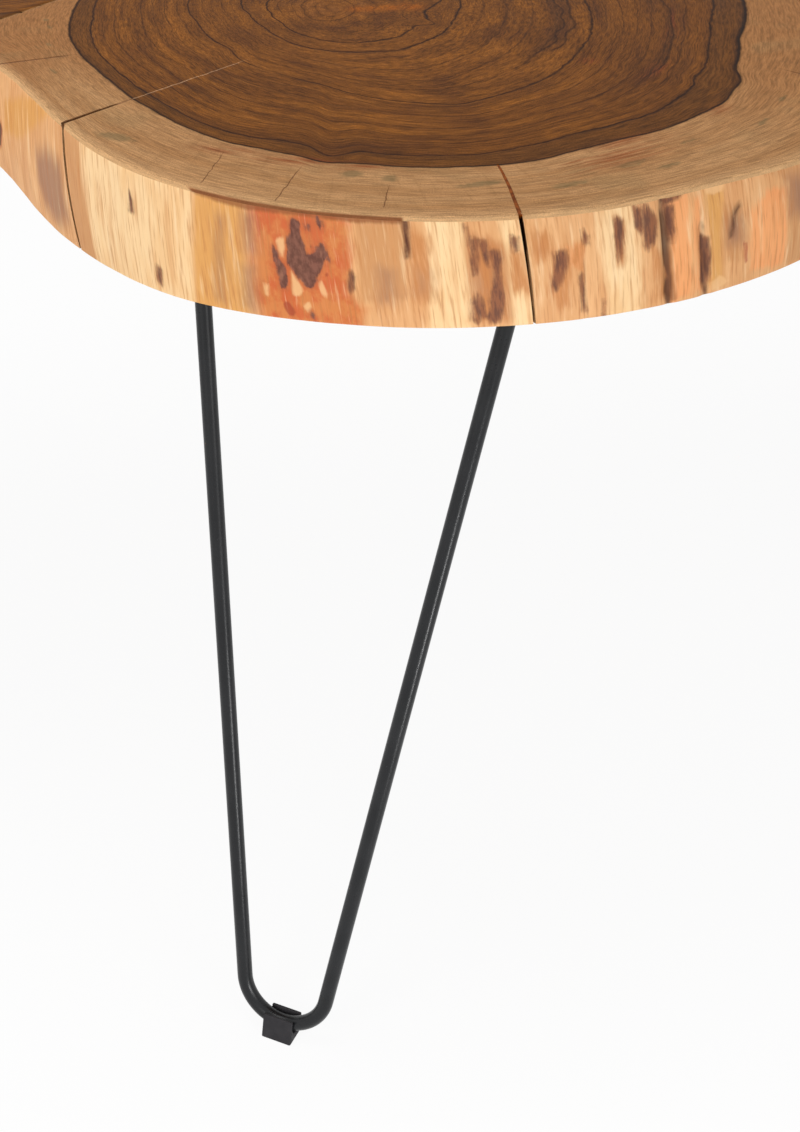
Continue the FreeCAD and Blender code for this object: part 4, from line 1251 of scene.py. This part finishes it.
TO_METRES = Matrix.Scale(0.001, 4)
for name, mesh in slices.items():
    mesh.transform(TO_METRES)
    shade_smooth(mesh, 40)
    set_in_place(bpy.data.objects.new(name + "_live_edge_slice", mesh), "live_edge_wood", name + "_slice")
print("3 slices in place")

# %% [markdown]
# ## Filler in the front check
# The maker poured hard filler into the top of the widest check and sanded it flush. It is cast
# between the check's own walls: stations from the rim to the tip, four levels down, a hair short
# of the wood on both sides, and its foot slopes back from the mouth.

# %% The filler
filler = Finish("amber_filler")
spot = filler.place()
cloud, dust = filler.noise(spot, 0.25), filler.noise(spot, 1.8)
tone = filler.coats(
    filler.between(cloud, 0.35, 0.65, (98, 46, 10), (136, 70, 22)),
    (filler.step(dust, 0.62, 0.75) * 0.3, (152, 92, 44)))
filler.surface(tone, 0.4 + dust * 0.15, cloud * 0.08, 0.4, Specular_IOR_Level=0.03)

# Millimetres under the top, and the share of the check's run that the filler keeps back from its mouth
CAST_LEVELS = (0.05, 0.012), (1.2, 0.03), (4.0, 0.12), (7.8, 0.24)
# Points on each wall, stations of the filler, the share of the run where it ends, and of the width
WALL_POINTS, CAST_STATIONS, CAST_END, CAST_WIDTH = 40, 24, 0.99, 0.9

shape, rings = bmesh.new(), []
for drop, back in CAST_LEVELS:
    # One ring of corners: down the first wall to the tip and back up the second
    still = np.zeros(WALL_POINTS)
    walls = check_walls("front", CHECKS["front"][1], TOP - drop, WALL_POINTS, still)
    share = np.linspace(0, 1, WALL_POINTS) ** CROWDING
    kept = back + (CAST_END - back) * np.linspace(0, 1, CAST_STATIONS)
    sides = np.array([[np.interp(kept, share, wall[:, axis]) for axis in (0, 1)] for wall in walls])
    middle = sides.mean(axis=0)
    sides = middle + (sides - middle) * CAST_WIDTH
    ring = np.concatenate([sides[0].T, sides[1].T[::-1]]) / 1000
    rings.append([shape.verts.new((x, y, (TOP - drop) / 1000)) for x, y in ring])
wrap(shape, rings)
count = len(rings[0])
for ring in (rings[0], rings[-1]):
    for i in range(count // 2 - 1):
        shape.faces.new((ring[i], ring[i + 1], ring[count - 2 - i], ring[count - 1 - i]))
cast = as_mesh(shape, "front_check_filler")
cast.materials.append(filler.material)
set_in_place(bpy.data.objects.new("front_check_filler", cast), "crack_fill", "crack_filler")
print("filler has", len(cast.polygons), "faces")

# %% [markdown]
# ## Dowels
# Two hardwood dowels sit inside each joint. They can't be seen on the finished table, but anyone
# who takes the joint apart finds them, so they get plain turned wood with grain down their length.

# %% The dowels' finish
def refinish(mesh, material):
    """Gives a mesh one new material in place of all others."""
    mesh.materials.clear()
    mesh.materials.append(material)


dowel_wood = Finish("dowel_wood")
grain = dowel_wood.noise(dowel_wood.stretch(dowel_wood.place(), (0.5, 0.5, 1.6)), 1.0, 3)
tone = dowel_wood.between(grain, 0.3, 0.7, (196, 154, 108), (222, 184, 136))
dowel_wood.surface(tone, 0.55 + grain * 0.15, grain * 0.1, 0.4)
for joint in JOINT_ENDS:
    refinish(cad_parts[joint + "_joint_dowels"].data, dowel_wood.material)
print("dowels refinished")

# %% [markdown]
# ## Black steel
# The legs are powder coated: black, satin, with a faint orange-peel texture from the baked powder
# and a scatter of small paler specks. One finish serves rods, plates and welds.

# %% The powder coat
powder = Finish("black_powder_coat")
spot = powder.place()
peel, drift, speck = powder.noise(spot, 0.9), powder.noise(spot, 0.05), powder.noise(spot, 3.0, 2, 0.6)
tone = powder.coats(
    powder.between(drift, 0.3, 0.7, (22, 23, 25), (30, 31, 33)),
    (powder.step(speck, 0.66, 0.78) * 0.4, (52, 54, 58)))
powder.surface(tone, 0.24 + peel * 0.1, peel * 0.07 + speck * 0.02, 0.5, Specular_IOR_Level=0.3)
print("powder coat ready")

# %% [markdown]
# ## Hairpin rods
# A hairpin is one straight bar bent once. As a rule: draw a V, round its point to the bending
# radius, and sweep a circle along it. That is just what a small node tree can do, and all three
# legs share it. Each V leans outwards, so its plane is tipped before it is turned to its corner.

# %% The leg's numbers
# Radius of the rod and of its bend, the rods' distance at the wood, the height of the bend's
# middle line, and how far the hairpin's plane leans out
ROD, BEND, SPREAD, RISE, LEAN = 4.0, 24.0, 158.0, 8.0, math.radians(14.3)
PLATE = 4.0
PLATE_UNDER = UNDER - PLATE
# Where each bend stands, and the way its hairpin is turned
FEET = {"front": (-23.0, -361.2, -24), "left": (-480.4, 106.5, -110), "right": (449.6, 236.5, 125)}
slant = (UNDER - RISE) / math.cos(LEAN) - BEND
half_angle = math.acos(BEND / math.hypot(SPREAD / 2, slant)) - math.atan2(slant, SPREAD / 2)
# The V's own point, before it is rounded, lies under the bend
V_POINT = BEND - BEND / math.sin(half_angle)
print("each rod leans %.2f degrees from the hairpin's middle" % math.degrees(half_angle))


def leg_place(leg):
    """From a leg's own place to its place on the table."""
    x, y, turn = FEET[leg]
    return Matrix.Translation((x, y, 0)) @ Matrix.Rotation(math.radians(turn), 4, "Z")


def on_rod(leg, side, level):
    """The middle of a rod, left (-1) or right (1), at a height, in millimetres on the table."""
    up = (level - RISE) / math.cos(LEAN)
    return in_hairpin(leg, side * (up - V_POINT) * math.tan(half_angle), up)


def in_hairpin(leg, across, up):
    """A point of the leaning plane, in millimetres on the table."""
    return leg_place(leg) @ Vector((across, up * math.sin(LEAN), RISE + up * math.cos(LEAN)))


# %% A tree of geometry nodes
def geometry_tree(name, sizes):
    """A node group with a geometry in and out, and one named input for each size."""
    tree = bpy.data.node_groups.new(name, "GeometryNodeTree")
    tree.interface.new_socket("Geometry", in_out="INPUT", socket_type="NodeSocketGeometry")
    for size_name, kind in sizes.items():
        tree.interface.new_socket(size_name, in_out="INPUT", socket_type="NodeSocket" + kind)
    tree.interface.new_socket("Geometry", in_out="OUTPUT", socket_type="NodeSocketGeometry")
    entry = tree.nodes.new("NodeGroupInput")
    return tree, {socket.name: Wire(socket) for socket in entry.outputs if socket.name}


def close_tree(tree, geometry, material):
    """Real geometry, smooth, with its material, at the end of every tree."""
    real = add_node(tree, "GeometryNodeRealizeInstances", {0: geometry})
    smooth = add_node(tree, "GeometryNodeSetShadeSmooth", {0: real})
    finished = add_node(tree, "GeometryNodeSetMaterial", {0: smooth, "Material": material})
    leave = tree.nodes.new("NodeGroupOutput")
    tree.links.new(finished.socket, leave.inputs[0])


def grow(name, points, edges, tree, values):
    """Runs a tree on some points and edges, and returns the result as a plain mesh object."""
    seed = bpy.data.meshes.new(name + "_seed")
    seed.from_pydata([tuple(point) for point in points], edges, [])
    carrier = bpy.data.objects.new(name + "_seed", seed)
    place_in_scene(carrier)
    modifier = carrier.modifiers.new("grow", "NODES")
    modifier.node_group = tree
    for item in tree.interface.items_tree:
        if item.item_type == "SOCKET" and item.in_out == "INPUT" and item.name in values:
            modifier[item.identifier] = values[item.name]
    graph = bpy.context.evaluated_depsgraph_get()
    mesh = bpy.data.meshes.new_from_object(carrier.evaluated_get(graph), depsgraph=graph)
    bpy.data.objects.remove(carrier)
    mesh.transform(TO_METRES)
    mesh.name = name
    return bpy.data.objects.new(name, mesh)


# %% Sweeping the rods
# The rods end inside their plates, half way through
ROD_TOP = PLATE_UNDER + PLATE / 2
tree, size = geometry_tree("hairpin_sweep", {"Rod radius": "Float", "Bend radius": "Float"})
path = add_node(tree, "GeometryNodeMeshToCurve", {0: size["Geometry"]})
fillet = {"Curve": path, "Radius": size["Bend radius"], "Count": 40}
bent = add_node(tree, "GeometryNodeFilletCurve", fillet, mode="POLY")
ring = add_node(tree, "GeometryNodeCurvePrimitiveCircle", {"Resolution": 32, "Radius": size["Rod radius"]})
swept = add_node(tree, "GeometryNodeCurveToMesh", {"Curve": bent, "Profile Curve": ring, "Fill Caps": True})
close_tree(tree, swept, powder.material)
for leg in FEET:
    bar = [on_rod(leg, -1, ROD_TOP), in_hairpin(leg, 0, V_POINT), on_rod(leg, 1, ROD_TOP)]
    rod = grow(leg + "_hairpin", bar, [(0, 1), (1, 2)], tree, {"Rod radius": ROD, "Bend radius": BEND})
    shade_smooth(rod.data, 40)
    set_in_place(rod, "black_steel", leg + "_hairpin_rod")
    refinish(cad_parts[leg + "_mounting_plate"].data, powder.material)
    print(leg, "hairpin:", len(rod.data.polygons), "faces")


# %% [markdown]
# ## Welds
# Each rod end is welded to its plate. A weld cools as a chain of overlapping ripples, so the tree
# puts one flattened drop after another round the rod, each a little different in size.

# %% Laying the weld ripples
# The drops' middles run round the rod on a circle of this radius, this far under the plate
WELD_RADIUS, WELD_DROP, CIRCLE = 4.9, 1.2, 48
tree, size = geometry_tree("weld_ripples", {"Drop radius": "Float", "Drops": "Int", "Seed": "Int"})
loop = add_node(tree, "GeometryNodeMeshToCurve", {0: size["Geometry"]})
spaced = add_node(tree, "GeometryNodeResampleCurve", {"Curve": loop, "Count": size["Drops"]})
drop = add_node(tree, "GeometryNodeMeshIcoSphere", {"Radius": size["Drop radius"], "Subdivisions": 3})
limits = {2: 0.9, 3: 1.12, "Seed": size["Seed"]}
varied = add_node(tree, "FunctionNodeRandomValue", limits, 1, data_type="FLOAT")
tilt = add_node(tree, "GeometryNodeInputTangent")
turned = add_node(tree, "FunctionNodeAlignRotationToVector", {"Vector": tilt}, axis="X")
scale = add_node(tree, "ShaderNodeCombineXYZ", {0: varied, 1: varied, 2: 0.72})
dotted = add_node(tree, "GeometryNodeInstanceOnPoints",
                  {"Points": spaced, "Instance": drop, "Rotation": turned, "Scale": scale})
close_tree(tree, dotted, powder.material)
for leg in FEET:
    points, edges = [], []
    for side in (-1, 1):
        middle, start = on_rod(leg, side, PLATE_UNDER - WELD_DROP), len(points)
        for turn in range(CIRCLE):
            across, up = unit(turn * 360 / CIRCLE) * WELD_RADIUS
            points.append(middle + Vector((across, up, 0)))
            edges.append((start + turn, start + (turn + 1) % CIRCLE))
    beads = grow(leg + "_weld_ripples", points, edges, tree, {"Drop radius": 2.4, "Drops": 15, "Seed": 7})
    set_in_place(beads, "black_steel", leg + "_weld_beads")
    print(leg, "welds:", len(beads.data.polygons), "faces")


# %% [markdown]
# ## Plate screws
# Twelve pan-head screws hold the plates. One screw is turned as a profile, and the drive's cross
# is pressed into its head. A tree then puts a copy at every hole, each stopped at its own angle,
# as a fitter leaves them.

# %% One screw
# Radius and rise, from the middle of the head out to its rim and in to the shank
HEAD = [(0.0, -2.6), (0.5, -2.6), (1.0, -2.6), (1.5, -2.6), (2.0, -2.55), (2.5, -2.45), (3.0, -2.3),
        (3.6, -2.0), (4.2, -1.5), (4.6, -0.9), (4.75, -0.3), (4.7, 0.0), (2.25, 0.0), (2.25, 1.0)]
THREADS, THREAD_PITCH, THREAD_START = 14, 1.15, 4.0
CORE, CREST = 1.75, 2.25
POINT = [(1.5, 20.5), (0.9, 23.5), (0.0, 26.0)]
# The pressed cross: half the width of its arms, their length, its depth, and where it would run out
ARM_HALF, ARM_LENGTH, CROSS_DEPTH, RUN_OUT = 0.75, 2.7, 1.3, 3.6
SCREW_SPOKES = 48


def screw_mesh():
    """A pan-head wood screw, point up, the seat of its head at zero, in millimetres."""
    profile = list(HEAD)
    for thread in range(THREADS):
        rise = THREAD_START + thread * THREAD_PITCH
        profile += [(CORE, rise), (CREST, rise + 0.45), (CORE, rise + 0.9)]
    shape, rows = bmesh.new(), []
    turns = np.arange(SCREW_SPOKES) * 2 * math.pi / SCREW_SPOKES
    for radius, rise in profile + POINT:
        if radius == 0.0:
            rows.append([shape.verts.new((0, 0, rise))] * SCREW_SPOKES)
        else:
            rows.append([shape.verts.new((radius * math.cos(turn), radius * math.sin(turn), rise))
                         for turn in turns])
    wrap(shape, rows)
    for vert in shape.verts:
        aside, along = sorted((abs(vert.co.x), abs(vert.co.y)))
        if vert.co.z < -2.2 and aside < ARM_HALF and along < ARM_LENGTH:
            vert.co.z += CROSS_DEPTH * (1 - along / RUN_OUT)
    return as_mesh(shape, "one_screw")


one_screw = bpy.data.objects.new("one_screw", screw_mesh())
print("one screw:", len(one_screw.data.polygons), "faces")

# %% [markdown]
# The screws are blackened, not powder coated: the oxide is thin, so steel shows faintly through
# in patches.

# %% The screws' finish, and setting them out
oxide = Finish("black_oxide")
worn = oxide.noise(oxide.place(), 0.8, 3)
tone = oxide.coats(paint(38, 38, 40), (oxide.step(worn, 0.45, 0.75) * 0.6, (88, 86, 84)))
oxide.surface(tone, 0.32 + worn * 0.2, worn * 0.03, 0.4, Metallic=0.6)

# The holes' distance from the middle of a plate, along it and across it
HOLE_ALONG, HOLE_ACROSS = 52, 11
tree, size = geometry_tree("screw_set", {"Screw": "Object", "Seed": "Int"})
model = add_node(tree, "GeometryNodeObjectInfo", {"Object": size["Screw"]}, "Geometry")
limits = {0: (0, 0, 0), 1: (0, 0, 2 * math.pi), "Seed": size["Seed"]}
stop = add_node(tree, "FunctionNodeRandomValue", limits, data_type="FLOAT_VECTOR")
turned = add_node(tree, "FunctionNodeEulerToRotation", {0: stop})
placed = add_node(tree, "GeometryNodeInstanceOnPoints",
                  {"Points": size["Geometry"], "Instance": model, "Rotation": turned})
close_tree(tree, placed, oxide.material)
inward = (PLATE_UNDER - RISE) * math.tan(LEAN)
for leg in FEET:
    seats = [leg_place(leg) @ Vector((across, inward + side, PLATE_UNDER))
             for across in (-HOLE_ALONG, HOLE_ALONG) for side in (-HOLE_ACROSS, HOLE_ACROSS)]
    screws = grow(leg + "_screw_set", seats, [], tree, {"Screw": one_screw, "Seed": 3})
    shade_smooth(screws.data, 35)
    set_in_place(screws, "black_screw", leg + "_plate_screws")
    print(leg, "screws:", len(screws.data.polygons), "faces")
bpy.data.objects.remove(one_screw)

# %% [markdown]
# ## Clip-on feet
# Each hairpin stands on a small rubber clip: a block with a slot that snaps over the bend. The
# CAD body has the right form, with only its four leaning edges rounded. A copy of it is welded
# together from its loose triangles, joined into clean faces, and rounded all over, as moulds do.

# %% The rubber
CORNER_RADIUS = 0.0011
rubber = Finish("black_rubber")
spot = rubber.place()
grit, bloom = rubber.noise(spot, 2.2, 3, 0.6), rubber.noise(spot, 0.12)
tone = rubber.between(bloom, 0.35, 0.7, (30, 28, 31), (42, 40, 43))
rubber.surface(tone, 0.62 + grit * 0.15, grit * 0.06, 0.5, Specular_IOR_Level=0.35)


def rounded_copy(node, name, width):
    """A welded copy of a CAD node with its sharp edges rounded."""
    shape = bmesh.new()
    shape.from_mesh(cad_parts[node].data)
    bmesh.ops.remove_doubles(shape, verts=shape.verts, dist=1e-5)
    bmesh.ops.dissolve_limit(shape, angle_limit=math.radians(1), verts=shape.verts, edges=shape.edges)
    sharp = [edge for edge in shape.edges
             if len(edge.link_faces) == 2 and edge.calc_face_angle() > math.radians(35)]
    bmesh.ops.bevel(shape, geom=sharp, offset=width, segments=3, profile=0.5, affect="EDGES",
                    clamp_overlap=True)
    mesh = as_mesh(shape, name)
    shade_smooth(mesh, 50)
    return bpy.data.objects.new(name, mesh)


for leg in FEET:
    clip = rounded_copy(leg + "_foot_cap", leg + "_clip_foot", CORNER_RADIUS)
    refinish(clip.data, rubber.material)
    set_in_place(clip, "black_rubber", leg + "_foot_cap")
    print(leg, "foot:", len(clip.data.polygons), "faces")


# %% [markdown]
# ## Is it still the same size?
# The dressed table's size is printed beside the CAD table's.

# %% Measuring
dressed_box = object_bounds()
for way, number in (("wide", 0), ("deep", 1), ("high", 2)):
    cad, dressed = (box[1][number] - box[0][number] for box in (cad_box, dressed_box))
    print("%s: CAD %.4f m, dressed %.4f m" % (way, cad, dressed))
